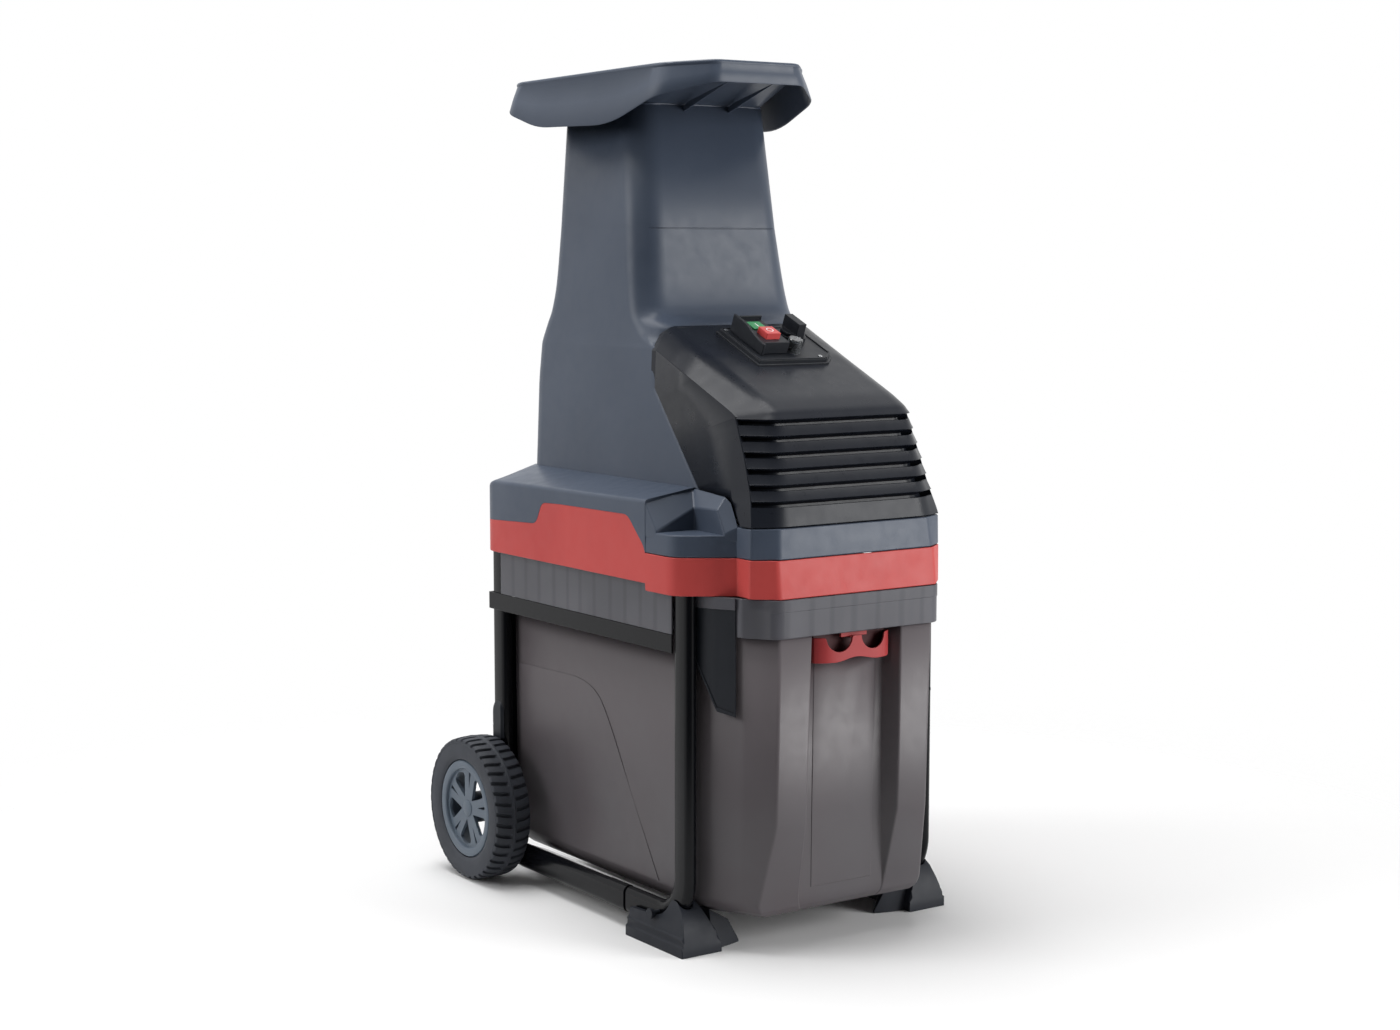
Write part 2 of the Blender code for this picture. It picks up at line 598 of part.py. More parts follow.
def ear_block(side):
    """One ear: it runs from the skirt's outline up to a narrow top beside the motor cover."""
    back = EAR_DEPTH + 0.001
    half = BODY_HALF_WIDTH
    inner = half - 0.092
    low = [(inner, 0.030), (half - 0.0585, 0.030), (half - 0.0120, 0.0705), (half - 0.0005, 0.103)]
    middle = [(inner, 0.046), (half - 0.0580, 0.0560), (half - 0.0300, 0.0760), (half - 0.0205, 0.101)]
    top = [(inner, 0.076), (half - 0.0625, 0.0795), (half - 0.0620, 0.0850), (half - 0.0615, 0.100)]
    rings = []
    for outline, height in ((low, BAND_START), (low, EAR_EDGE), (middle, BAND_TOP), (top, LEDGE_TOP - 0.002)):
        full = [*outline, (outline[-1][0], back), (inner, back)]
        rings.append([(side * x, y, height) for x, y in full])
    return loft("ear_block", rings)


def front_band(height):
    """Outline of the band in front of the motor, under the cover."""
    rise = height - RING_BOTTOM
    front = FRONT_SLOPE * rise
    taper = FRONT_TAPER * rise
    half = BODY_HALF_WIDTH
    outline = [(0, front), (FRONT_HALF_WIDTH - taper, front), (half - 0.0555 - taper / 3, 0.024 + front),
               (half - 0.057, 0.0520), (half - 0.092, 0.0900), (0, 0.0900)]
    return at_height(both_sides(outline), height)


def build_housing():
    housing = tower_shell("main_housing", TOWER, 0, "housing")
    boolean(housing, skirt_block(), "UNION")
    skirt_front = loft("skirt_front", [at_height(footprint(z), z) for z in (BAND_START, EAR_EDGE)])
    boolean(skirt_front, box("skirt_front_end", (-0.3, EAR_DEPTH + 0.002, 0.3), (0.3, 0.7, 0.6)))
    boolean(housing, skirt_front, "UNION")
    for _, side, _ in SIDES:
        boolean(housing, ear_block(side), "UNION")
    boolean(housing, loft("front_band", [front_band(z) for z in (BAND_START, BAND_TOP)]), "UNION")

    boolean(housing, parting_prism("below_parting", GAP / 2, 0.3))
    inside = [tower_row(TOWER_TOP + 0.02), *TOWER[:-1], tower_row(0.45)]
    boolean(housing, tower_shell("tower_inside", inside, WALL))
    low = RING_BOTTOM
    levels = (low, EAR_EDGE - WALL)
    boolean(housing, loft("skirt_inside", [inset(at_height(footprint(z), z), WALL) for z in levels]))
    plan = both_sides(skirt_plan(EAR_DEPTH))
    levels = (low, LEDGE_EDGE - 0.011)
    boolean(housing, loft("ledge_inside", [inset(at_height(plan, z), WALL) for z in levels]))
    half = BODY_HALF_WIDTH - 0.0705
    bay = [(0, 0.0140), (half - 0.0205, 0.0140), (half, 0.0340), (half, 0.160), (0, 0.160)]
    boolean(housing, prism("motor_bay", both_sides(bay), "Z", low, LEDGE_TOP + 0.02))
    boolean(housing, box("gear_opening", (-0.104, 0.110, low), (0.104, 0.250, 0.620)))
    for name, side, _ in SIDES:
        outline = [(side * (BODY_HALF_WIDTH - inwards), y) for inwards, y in POCKET]
        boolean(housing, prism(name + "_pocket", outline, "Z", POCKET_FLOOR, 0.6))
    boolean(housing, panel_region("panel_opening", GAP))
    place = (BODY_HALF_WIDTH, SCREW_DEPTH, DRUM_Z)
    boolean(housing, cylinder("screw_hole", SCREW_RADIUS + 0.001, 0.05, place, "X"))
    place = (0, TOWER_REAR, INLET_HEIGHT)
    boolean(housing, cylinder("inlet_hole", INLET_RADIUS + GAP, 0.04, place, "Y"))


def panel_region(name, grow):
    """The volume in front of the tower's ridges and above the seam."""
    top, seam = TOWER[0], TOWER[1]
    low = seam[0] - grow
    outline = [(0.2, low), (seam[3] + grow, low), (top[3] + grow, top[0] + grow), (0.2, 1.0)]
    return prism(name, outline, "X", -0.3, 0.3)


def build_upper_panel():
    rows = [tower_row(TOWER_TOP), tower_row(SEAM - 0.02)]
    panel = tower_shell("upper_front_panel", rows, 0, "housing")
    rows = [tower_row(TOWER_TOP + 0.02), TOWER[0], TOWER[1], tower_row(SEAM - 0.04)]
    boolean(panel, tower_shell("panel_inside", rows, WALL))
    boolean(panel, panel_region("panel_part", -GAP), "INTERSECT")


def build_front_cover():
    bm = bmesh.new()
    rows = []
    for depth, height, half, side_edge, rear_edge in COVER:
        right = [(half, depth, height), side_edge, rear_edge]
        points = [(-x, y, z) for x, y, z in reversed(right)] + right
        rows.append([bm.verts.new(point) for point in points])
    for upper, lower in zip(rows, rows[1:]):
        for i in range(len(upper) - 1):
            bm.faces.new((upper[i], lower[i], lower[i + 1], upper[i + 1]))
    cover = solid("front_cover", bm, "black")
    shell = cover.modifiers.new("shell", "SOLIDIFY")
    shell.thickness = WALL - 0.0005
    shell.offset = -1
    shell.use_even_offset = True
    slots = bmesh.new()
    for i in range(LOUVRES):
        height = LOUVRE_LOWEST + i * LOUVRE_PITCH
        back = louvre_front(height) + LOUVRE_REACH
        add_block(slots, (-LOUVRE_HALF_WIDTH, -0.02, height - LOUVRE_HEIGHT / 2),
                  (LOUVRE_HALF_WIDTH, back, height + LOUVRE_HEIGHT / 2))
    boolean(cover, solid("louvre_slots", slots))


def louvre_front(height):
    """Depth of the cover's front face at a height."""
    top, low = COVER[5], COVER[7]
    return low[0] + (height - low[1]) * (top[0] - low[0]) / (top[1] - low[1])


def build_hopper():
    rim = both_sides(HOPPER_RIM)
    lip = both_sides(HOPPER_LIP)
    wall = BOX_WALL
    top = tower_row(TOWER_TOP)
    neck = inset(hopper_neck(top), WALL + 2 * GAP)
    low_neck = inset(hopper_neck(tower_row(TOWER_TOP - NECK_LENGTH)), WALL + 2 * GAP)
    lower = [(x, y, z - wall) for x, y, z in inset(rim, wall)]
    neck_top = [(x, y, TOWER_TOP + GAP) for x, y, _ in neck]
    rings = [
        rim, lip, inset(lip, wall), lower, neck_top, low_neck,
        inset(low_neck, wall), [(x, y, z + 0.003) for x, y, z in inset(neck_top, wall)],
        inset(rim, RIM_WIDTH),
    ]
    loft("hopper", rings, "housing", closed=True)


def hopper_neck(row):
    """The tower's outline with as many points as the hopper's rim."""
    height, panel, panel_half, ridge, half, rear = row
    r = TOWER_CORNER
    return at_height(both_sides([
        (0, panel), (panel_half, panel), (half, ridge), (half, ridge + 0.03),
        (half, rear - r), (half - 0.3 * r, rear - 0.3 * r), (half - r, rear), (0, rear),
    ]), height)


def build_chute():
    """The feed chute from the hopper's neck down to the crushing chamber."""
    top = TOWER_TOP - NECK_LENGTH - GAP
    low_half = CHAMBER_HALF_WIDTH + BOX_WALL
    half = CHAMBER_LENGTH / 2
    levels = (
        (top, rectangle(*CHUTE_TOP_HALF, (0, CHUTE_TOP_DEPTH))),
        (CHUTE_BEND, rectangle(low_half + 0.020, half, (0, CHUTE_TOP_DEPTH + 0.006))),
        (CHAMBER_TOP + GAP, rectangle(low_half, half, (0, DRUM_DEPTH))),
    )
    outer = [at_height(rounded(outline, CHUTE_CORNER, 2), height) for height, outline in levels]
    inner = [inset(ring, BOX_WALL) for ring in reversed(outer)]
    loft("feed_chute", outer + inner, "black", closed=True)


# Crushing chamber

def build_drum_housing():
    start = DRUM_DEPTH - CHAMBER_LENGTH / 2
    end = DRUM_DEPTH + CHAMBER_LENGTH / 2
    half = CHAMBER_HALF_WIDTH + CHAMBER_WALL
    block = box("drum_housing", (-half, start - CHAMBER_WALL, DECK_TOP + GAP),
                (half, end + CHAMBER_WALL, CHAMBER_TOP), "cast")
    boolean(block, box("chamber", (-CHAMBER_HALF_WIDTH, start, 0.3), (CHAMBER_HALF_WIDTH, end, 0.7)))
    length = CHAMBER_LENGTH + 4 * CHAMBER_WALL
    boolean(block, cylinder("bearing_bore", BEARING_RADIUS + GAP, length, (DRUM_X, DRUM_DEPTH, DRUM_Z), "Y"))
    place = (half, SCREW_DEPTH, DRUM_Z)
    boolean(block, cylinder("screw_bore", SCREW_RADIUS + GAP, 0.06, place, "X", sides=16))
    for name, centre in (("front", start - CHAMBER_WALL / 2), ("rear", end + CHAMBER_WALL / 2)):
        ring = ring_profile(BEARING_RADIUS, SHAFT_RADIUS + GAP, -BEARING_WIDTH / 2, BEARING_WIDTH / 2)
        turned(name + "_drum_bearing", ring, (DRUM_X, centre, DRUM_Z), "Y", "steel", loop=True)


def build_drum():
    """The crushing drum, a toothed roller, on its shaft."""
    outline = []
    pitch = 2 * math.pi / DRUM_TEETH
    root = DRUM_RADIUS - DRUM_TOOTH
    tooth = ((DRUM_RADIUS, 0), (DRUM_RADIUS, 0.22), (root, 0.34), (root + 0.0017, 0.85))
    for i in range(DRUM_TEETH):
        for radius, share in tooth:
            angle = pitch * (i + share)
            outline.append((radius * math.cos(angle), radius * math.sin(angle)))
    half = DRUM_LENGTH / 2
    drum = prism("crushing_drum", outline, "Y", -half, half, "steel", (DRUM_X, DRUM_DEPTH, DRUM_Z))
    boolean(drum, cylinder("drum_bore", SHAFT_RADIUS + GAP, 0.3, (DRUM_X, DRUM_DEPTH, DRUM_Z), "Y"))
    start = GEARBOX_FRONT + GEARBOX_WALL + 0.004
    end = DRUM_DEPTH + CHAMBER_LENGTH / 2 + CHAMBER_WALL
    cylinder("drum_shaft", SHAFT_RADIUS, end - start, (DRUM_X, (start + end) / 2, DRUM_Z), "Y", "steel")


def build_pressure_plate():
    face = DRUM_X + DRUM_RADIUS + PLATE_GAP
    half = CHAMBER_LENGTH / 2 - GAP
    low = DECK_TOP + PRESS_INSET - DRUM_Z
    high = CHAMBER_TOP - PRESS_INSET - DRUM_Z
    box("pressure_plate", (0, -half, low), (PRESS_THICKNESS, half, high), "cast", (face, DRUM_DEPTH, DRUM_Z))
    start = face + PRESS_THICKNESS + GAP
    knob_start = BODY_HALF_WIDTH + 2 * GAP
    end = knob_start + KNOB_LENGTH - 0.005
    centre = ((start + end) / 2, SCREW_DEPTH, DRUM_Z)
    cylinder("adjusting_screw", SCREW_RADIUS, end - start, centre, "X", "steel", 16)
    bore = SCREW_RADIUS + GAP
    depth = end - knob_start + GAP
    profile = [
        (0, KNOB_LENGTH), (KNOB_RADIUS - 0.003, KNOB_LENGTH), (KNOB_RADIUS, KNOB_LENGTH - 0.003),
        (KNOB_RADIUS, 0), (bore, 0), (bore, depth), (0, depth),
    ]
    knob = turned("adjusting_knob", profile, (knob_start, SCREW_DEPTH, DRUM_Z), "X", "black", 24)
    for i in range(KNOB_FLUTES):
        angle = 2 * math.pi * i / KNOB_FLUTES
        y = SCREW_DEPTH + (KNOB_RADIUS + 0.002) * math.cos(angle)
        z = DRUM_Z + (KNOB_RADIUS + 0.002) * math.sin(angle)
        boolean(knob, cylinder("knob_flute", FLUTE_RADIUS, 0.06, (knob_start, y, z), "X", sides=8))


# Motor and gears

def gear_outline(teeth, module, turn=0.0):
    """A toothed outline with four points a tooth, a tooth centred on the angle turn."""
    pitch_radius = module * teeth / 2
    root = pitch_radius - TOOTH_ROOT * module
    tip = pitch_radius + TOOTH_TIP * module
    outline = []
    for i in range(teeth):
        middle = turn + 2 * math.pi * i / teeth
        for radius, reach in ((root, -0.80), (tip, -0.26), (tip, 0.26), (root, 0.80)):
            angle = middle + reach * module / pitch_radius
            outline.append((radius * math.cos(angle), radius * math.sin(angle)))
    return outline


def gear(name, teeth, module, turn, plane, x, z, finish=None):
    half = (plane[1] - plane[0]) / 2
    place = (x, (plane[0] + plane[1]) / 2, z)
    return prism(name, gear_outline(teeth, module, turn), "Y", -half, half, finish, place)


def shaft_between(name, radius, start, end, x, z):
    return cylinder(name, radius, end - start, (x, (start + end) / 2, z), "Y", "steel", 16)


def build_gears():
    """Each pair meets with a tooth of one in a space of the other, on the line between the centres."""
    turn = LAY_ANGLE
    wheel = gear("drum_gear", DRUM_GEAR_TEETH, COARSE_MODULE, turn, COARSE_PLANE, DRUM_X, DRUM_Z, "steel")
    place = (DRUM_X, COARSE_PLANE[0], DRUM_Z)
    boolean(wheel, cylinder("drum_gear_bore", SHAFT_RADIUS + GAP, 0.2, place, "Y"))

    start = GEARBOX_FRONT + GEARBOX_WALL + 2 * GAP
    end = GEARBOX_BACK - GEARBOX_WALL - GAP
    shaft = shaft_between("lay_shaft", LAY_SHAFT_RADIUS, start, end, LAY_X, LAY_Z)
    turn += math.pi + math.pi / SECOND_PINION_TEETH
    pinion = gear("lay_pinion", SECOND_PINION_TEETH, COARSE_MODULE, turn, COARSE_PLANE, LAY_X, LAY_Z)
    boolean(shaft, pinion, "UNION")

    turn = math.atan2(MOTOR_Z - LAY_Z, MOTOR_X - LAY_X)
    wheel = gear("lay_gear", FIRST_GEAR_TEETH, FINE_MODULE, turn, FINE_PLANE, LAY_X, LAY_Z, "steel")
    place = (LAY_X, FINE_PLANE[0], LAY_Z)
    boolean(wheel, cylinder("lay_gear_bore", LAY_SHAFT_RADIUS + GAP, 0.2, place, "Y", sides=16))

    start = MOTOR_FRONT + FAN_START - 0.004
    shaft = shaft_between("motor_shaft", MOTOR_SHAFT_RADIUS, start, FINE_PLANE[1] + 0.002, MOTOR_X, MOTOR_Z)
    turn += math.pi + math.pi / MOTOR_PINION_TEETH
    pinion = gear("motor_pinion", MOTOR_PINION_TEETH, FINE_MODULE, turn, FINE_PLANE, MOTOR_X, MOTOR_Z)
    boolean(shaft, pinion, "UNION")


def build_gearbox():
    low = DECK_TOP + GAP
    drum_gear_radius = COARSE_MODULE * (DRUM_GEAR_TEETH / 2 + 1)
    lay_gear_radius = FINE_MODULE * (FIRST_GEAR_TEETH / 2 + 1)
    room = GEAR_ROOM + GEARBOX_WALL
    left = DRUM_X - drum_gear_radius - room
    right = LAY_X + lay_gear_radius + room
    top = LAY_Z + lay_gear_radius + room
    start = GEARBOX_FRONT + GEARBOX_WALL + GAP
    outline = rounded([(left, low), (right, low), (right, top), (left, top)], GEARBOX_CORNER)
    case = prism("gearbox_housing", outline, "Y", start, GEARBOX_BACK, "cast")
    wall = GEARBOX_WALL
    floor = low + wall - 0.001
    side = right - wall
    corners = [(left + wall, floor), (side, floor), (side, top - wall), (left + wall, top - wall)]
    inside = rounded(corners, GEARBOX_CORNER - 0.004)
    boolean(case, prism("gearbox_inside", inside, "Y", start - 0.02, GEARBOX_BACK - wall))
    boolean(case, cylinder("shaft_hole", SHAFT_RADIUS + GAP, 0.04, (DRUM_X, GEARBOX_BACK, DRUM_Z), "Y"))
    lid = prism("gearbox_cover", outline, "Y", GEARBOX_FRONT, GEARBOX_FRONT + wall, "cast")
    hole = MOTOR_SHAFT_RADIUS + 0.004
    boolean(lid, cylinder("motor_shaft_hole", hole, 0.04, (MOTOR_X, GEARBOX_FRONT, MOTOR_Z), "Y"))


def build_motor():
    outer = MOTOR_RADIUS
    inner = MOTOR_RADIUS - MOTOR_WALL
    bore = MOTOR_SHAFT_RADIUS + GAP
    shield = MOTOR_LENGTH - MOTOR_END
    centre = (MOTOR_X, MOTOR_FRONT, MOTOR_Z)
    end = MOTOR_LENGTH
    profile = [(outer, end), (outer, 0), (inner, 0), (inner, shield), (bore, shield), (bore, end)]
    turned("motor_housing", profile, centre, "Y", "cast", 28, loop=True)
    stator = ring_profile(inner - GAP, ROTOR_RADIUS + AIR_GAP, STACK_START, STACK_END)
    turned("motor_stator", stator, centre, "Y", "copper", 28, loop=True)
    rotor = ring_profile(ROTOR_RADIUS, bore, STACK_START + 0.004, STACK_END - 0.004)
    turned("motor_rotor", rotor, centre, "Y", "steel", 28, loop=True)
    disc = ring_profile(FAN_RADIUS, bore, FAN_START, FAN_START + FAN_DISC)
    fan = turned("cooling_fan", disc, centre, "Y", "black", 24, loop=True)
    half = BLADE_THICKNESS / 2
    for i in range(FAN_BLADES):
        bm = bmesh.new()
        add_block(bm, (0.012, -half, FAN_START + 0.001), (FAN_RADIUS - 0.003, half, BLADE_END))
        turn = Matrix.Rotation(2 * math.pi * (i + 0.5) / FAN_BLADES, 3, "Z")
        bmesh.ops.rotate(bm, verts=bm.verts, matrix=turn)
        blade = solid("fan_blade", bm, place=centre)
        blade.rotation_euler = TURNS["Y"]
        boolean(fan, blade, "UNION")


def build_electrics():
    floor = DECK_TOP + GAP
    centre = (*CAPACITOR_AT, floor + CAPACITOR_RADIUS)
    cylinder("start_capacitor", CAPACITOR_RADIUS, CAPACITOR_LENGTH, centre, "Y", "black", 20)
    low = (-SWITCH_HALF_WIDTH, PLUNGER_DEPTH - 0.0025, floor)
    high = (SWITCH_HALF_WIDTH, PLUNGER_DEPTH + 0.022, DECK_TOP + SWITCH_HEIGHT)
    switch = box("interlock_switch", low, high, "black")
    bore = PLUNGER_RADIUS + GAP
    place = (0, PLUNGER_DEPTH, DECK_TOP)
    boolean(switch, cylinder("plunger_bore", bore, 2 * PLUNGER_BORE_DEPTH, place, "Z", sides=12))
    low = BOX_EDGE + GAP
    high = DECK_TOP + PLUNGER_BORE_DEPTH - PLUNGER_TRAVEL - GAP
    centre = (0, PLUNGER_DEPTH, (high + low) / 2)
    cylinder("interlock_plunger", PLUNGER_RADIUS, high - low, centre, "Z", "steel", 12)

    radius = INLET_RADIUS
    flange = radius + 0.006
    inner = radius - 0.003
    seat = -2 * GAP
    profile = [
        (0, INLET_REACH), (radius, INLET_REACH), (radius, seat), (flange, seat), (flange, -0.004),
        (radius, -0.004), (radius, -INLET_COLLAR), (inner, -INLET_COLLAR), (inner, 0.010), (0, 0.010),
    ]
    turned("mains_inlet", profile, (0, TOWER_REAR, INLET_HEIGHT), "-Y", "black")


# Controls on the cover's slope

def build_controls():
    first, second = COVER[0], COVER[2]
    slope = math.atan2(first[1] - second[1], first[0] - second[0])
    height = second[1] + (PANEL_DEPTH - second[0]) * math.tan(slope)
    panel = bpy.data.objects.new("panel_plane", None)
    panel.parent = CARRIER
    panel.location = (PANEL_X, PANEL_DEPTH, height)
    panel.rotation_euler = (slope, 0, 0)
    PARTS.objects.link(panel)

    half_width = PLATE_WIDTH / 2
    half_length = PLATE_LENGTH / 2
    outline = [(-half_width, -half_length), (half_width - PLATE_NOTCH, -half_length),
               (half_width, -half_length + PLATE_NOTCH),
               (half_width, half_length), (-half_width, half_length)]
    plate = prism("control_plate", outline, "Z", GAP, PLATE_THICKNESS, "black", parent=panel)
    base = PLATE_THICKNESS + GAP

    x, y = SWITCH_AT
    half_width, half_length, height = SWITCH_BLOCK
    floor = base + SWITCH_FLOOR
    top = base + height
    corners = (-half_width, -half_length, base), (half_width, half_length, top)
    block = box("switch_housing", *corners, "black", (x, y, 0), panel)
    side = BUTTON_SIZE / 2
    seat = side + BUTTON_CLEARANCE
    for name, shift, finish, proud in BUTTONS:
        place = (x, y + shift, 0)
        well = box(name + "_well", (-seat, -seat, floor), (seat, seat, top + 0.02), place=place, parent=panel)
        boolean(block, well)
        low = floor + BUTTON_TRAVEL + GAP
        box(name + "_button", (-side, -side, low), (side, side, top + proud), finish, place, panel)

    x, y = SELECTOR_AT
    radius, height = SELECTOR_BASE
    centre = (x, y, PLATE_THICKNESS + height / 2 - 0.001)
    boolean(plate, cylinder("selector_base", radius, height + 0.002, centre, "Z", parent=panel), "UNION")
    start = PLATE_THICKNESS + height + GAP
    half_width, half_length, height = SELECTOR_BAR
    corners = (-half_width, -half_length, start), (half_width, half_length, start + height)
    bar = box("selector_knob", *corners, "black", (x, y, 0), panel)
    radius, height = SELECTOR_DISC
    centre = (x, y, start + height / 2)
    boolean(bar, cylinder("selector_disc", radius, height, centre, "Z", parent=panel), "UNION")

    x, y = RESET_AT
    low = base + RESET_TRAVEL
    centre = (x, y, low + (RESET_HEIGHT - RESET_TRAVEL) / 2)
    cylinder("reset_button", RESET_RADIUS, RESET_HEIGHT - RESET_TRAVEL, centre, "Z", "black", 16, panel)
    collar = [(COLLAR_RADIUS, COLLAR_HEIGHT), (COLLAR_RADIUS, -0.001), (RESET_RADIUS + GAP, -0.001),
              (RESET_RADIUS + GAP, COLLAR_HEIGHT)]
    place = (x, y, PLATE_THICKNESS)
    collar = turned("reset_collar", collar, place, "Z", sides=16, loop=True, parent=panel)
    boolean(plate, collar, "UNION")
    outer = CAP_OUTER
    inner = CAP_OUTER - CAP_WALL
    under = CAP_TOP - CAP_WALL
    cap = [(0, CAP_TOP), (outer - 0.001, CAP_TOP), (outer, CAP_TOP - 0.001), (outer, 0), (inner, 0),
           (inner, under), (0, under)]
    turned("reset_cap", cap, (x, y, base), "Z", "clear", 20, parent=panel)


# Collection box

def box_outline(row):
    height, groove, groove_half, inner, column, outer, corner, side, start, rear = row
    corner = (BODY_HALF_WIDTH - corner[0], corner[1])
    half = BODY_HALF_WIDTH - side
    r = BOX_CORNER
    outline = [
        (0, groove), (groove_half, groove), (inner, column), (outer, column), corner, (half, start),
        (half, rear - r), (half - 0.3 * r, rear - 0.3 * r), (half - r, rear), (0, rear),
    ]
    return at_height(both_sides(outline), height)


def shoulder_line(shift):
    """The two ends of a shoulder plate in plan, moved inwards."""
    (x0, y0), (x1, y1) = [(BODY_HALF_WIDTH - inwards, depth) for inwards, depth in SHOULDER]
    inward = Vector((y0 - y1, x1 - x0)).normalized() * shift
    return (x0 + inward.x, y0 + inward.y), (x1 + inward.x, y1 + inward.y)


def build_box():
    outer = [box_outline(row) for row in reversed(BOX)]
    floor = [(x, y, z + BOX_WALL) for x, y, z in inset(outer[0], BOX_WALL)]
    inner = [inset(ring, BOX_WALL) for ring in reversed(outer[1:])]
    loft("collection_box", outer + inner + [floor], "smoke")

    top = BOX[0]
    half = BODY_HALF_WIDTH - top[7] + BOX_WALL + GAP
    rear = top[9] + BOX_WALL + GAP
    r = BOX_CORNER
    front = top[4] - BOX_WALL - GAP - 0.0002
    (near_x, near_y), (far_x, far_y) = shoulder_line(SHOULDER_THICKNESS + GAP)
    slope = (far_y - near_y) / (far_x - near_x)
    plan = [
        (0, front), (0.111, front), (near_x - 0.0005, near_y - 0.0075), (near_x, near_y + GAP),
        (half, far_y - slope * (far_x - half)), (half, rear - r),
        (half - 0.3 * r, rear - 0.3 * r), (half - r, rear), (0, rear),
    ]
    outer = [at_height(both_sides(plan), z) for z in (BOX_TOP - RIM_HEIGHT, BOX_TOP)]
    inner = [inset(ring, BOX_WALL) for ring in reversed(outer)]
    loft("box_rim", outer + inner, "smoke", closed=True)

    for name, side, _ in SIDES:
        rings = []
        for shift in (0, SHOULDER_THICKNESS):
            near, far = [(side * x, y) for x, y in shoulder_line(shift)]
            rings.append([(*near, SHOULDER_TIP), (*far, SHOULDER_EDGE), (*far, BOX_EDGE), (*near, BOX_EDGE)])
        loft(name + "_box_shoulder", rings, "black")


def build_latch():
    back = LATCH_DEPTH + LATCH_THICKNESS
    middle = (LATCH_BOTTOM + LATCH_TOP) / 2
    half = LATCH_HALF_WIDTH
    low = LATCH_BOTTOM
    wave = both_sides([(0, low + 0.003), (0.012, low + 0.003), (0.030, low), (half - 0.007, low),
                       (half, low + 0.004), (half, LATCH_TOP), (0, LATCH_TOP)])
    latch = prism("box_latch", wave, "Y", LATCH_DEPTH, back, "red")
    groove = BOX[0][1] + (BOX[1][1] - BOX[0][1]) * (BOX[0][0] - LATCH_TOP) / (BOX[0][0] - BOX[1][0])
    guide = box("latch_guide", (-0.028, back - 0.001, low + 0.006), (0.028, groove - GAP, LATCH_TOP - 0.002))
    boolean(latch, guide, "UNION")
    tongue = box("latch_tongue", (-LATCH_TONGUE, LATCH_DEPTH, middle), (LATCH_TONGUE, back, BOX_EDGE))
    boolean(latch, tongue, "UNION")
    for _, side, _ in SIDES:
        centre = (side * SCALLOP_X, LATCH_DEPTH, middle + 0.002)
        boolean(latch, cylinder("finger_scallop", SCALLOP_RADIUS, 2 * SCALLOP_DEPTH, centre, "Y", sides=20))


# Frame, feet and wheels

def oval_section():
    """The tube's flat-oval section as a closed curve."""
    half_width, half_depth = TUBE_WIDTH / 2, TUBE_DEPTH / 2
    straight = half_depth - half_width
    return arc((0, straight), half_width, 0, 180, 4) + arc((0, -straight), half_width, 180, 360, 4)


def tube_path(section):
    """Depth and height of the centre line of the front or the rear section."""
    if section == "front":
        centre = (FRONT_UPRIGHT + BEND_RADIUS, RUN_HEIGHT + BEND_RADIUS)
        return [(FRONT_UPRIGHT, FRAME_TOP), *arc(centre, BEND_RADIUS, 180, 270, 6), (FRAME_JOINT, RUN_HEIGHT)]
    centre = (REAR_UPRIGHT - BEND_RADIUS, RUN_HEIGHT + BEND_RADIUS)
    return [(FRAME_JOINT + GAP, RUN_HEIGHT), *arc(centre, BEND_RADIUS, 270, 360, 6),
            (REAR_UPRIGHT, FRAME_TOP)]


def tube_mesh(name, section, side, grow=0.0, finish=None):
    """A flat-oval tube drawn as a curve and made a mesh: an open skin, or solid where grow is given."""
    profile = bpy.data.curves.new("oval", "CURVE")
    spline = profile.splines.new("POLY")
    points = oval_section()
    spline.points.add(len(points) - 1)
    for point, (x, y) in zip(spline.points, points):
        length = math.hypot(x, y)
        factor = (length + grow) / length
        point.co = (x * factor, y * factor, 0, 1)
    spline.use_cyclic_u = True
    section_object = bpy.data.objects.new("oval", profile)
    CUTTERS.objects.link(section_object)
    curve = bpy.data.curves.new(name, "CURVE")
    curve.dimensions = "3D"
    spline = curve.splines.new("POLY")
    path = tube_path(section)
    spline.points.add(len(path) - 1)
    for point, (depth, height) in zip(spline.points, path):
        point.co = (side * TUBE_X, depth, height, 1)
    curve.bevel_mode = "OBJECT"
    curve.bevel_object = section_object
    curve.use_fill_caps = grow > 0
    drawn = bpy.data.objects.new(name + "_curve", curve)
    CUTTERS.objects.link(drawn)
    bpy.context.view_layer.update()
    evaluated = drawn.evaluated_get(bpy.context.evaluated_depsgraph_get())
    mesh = bpy.data.meshes.new_from_object(evaluated)
    bm = bmesh.new()
    bm.from_mesh(mesh)
    bpy.data.objects.remove(drawn)
    bpy.data.objects.remove(section_object)
    return solid(name, bm, finish)


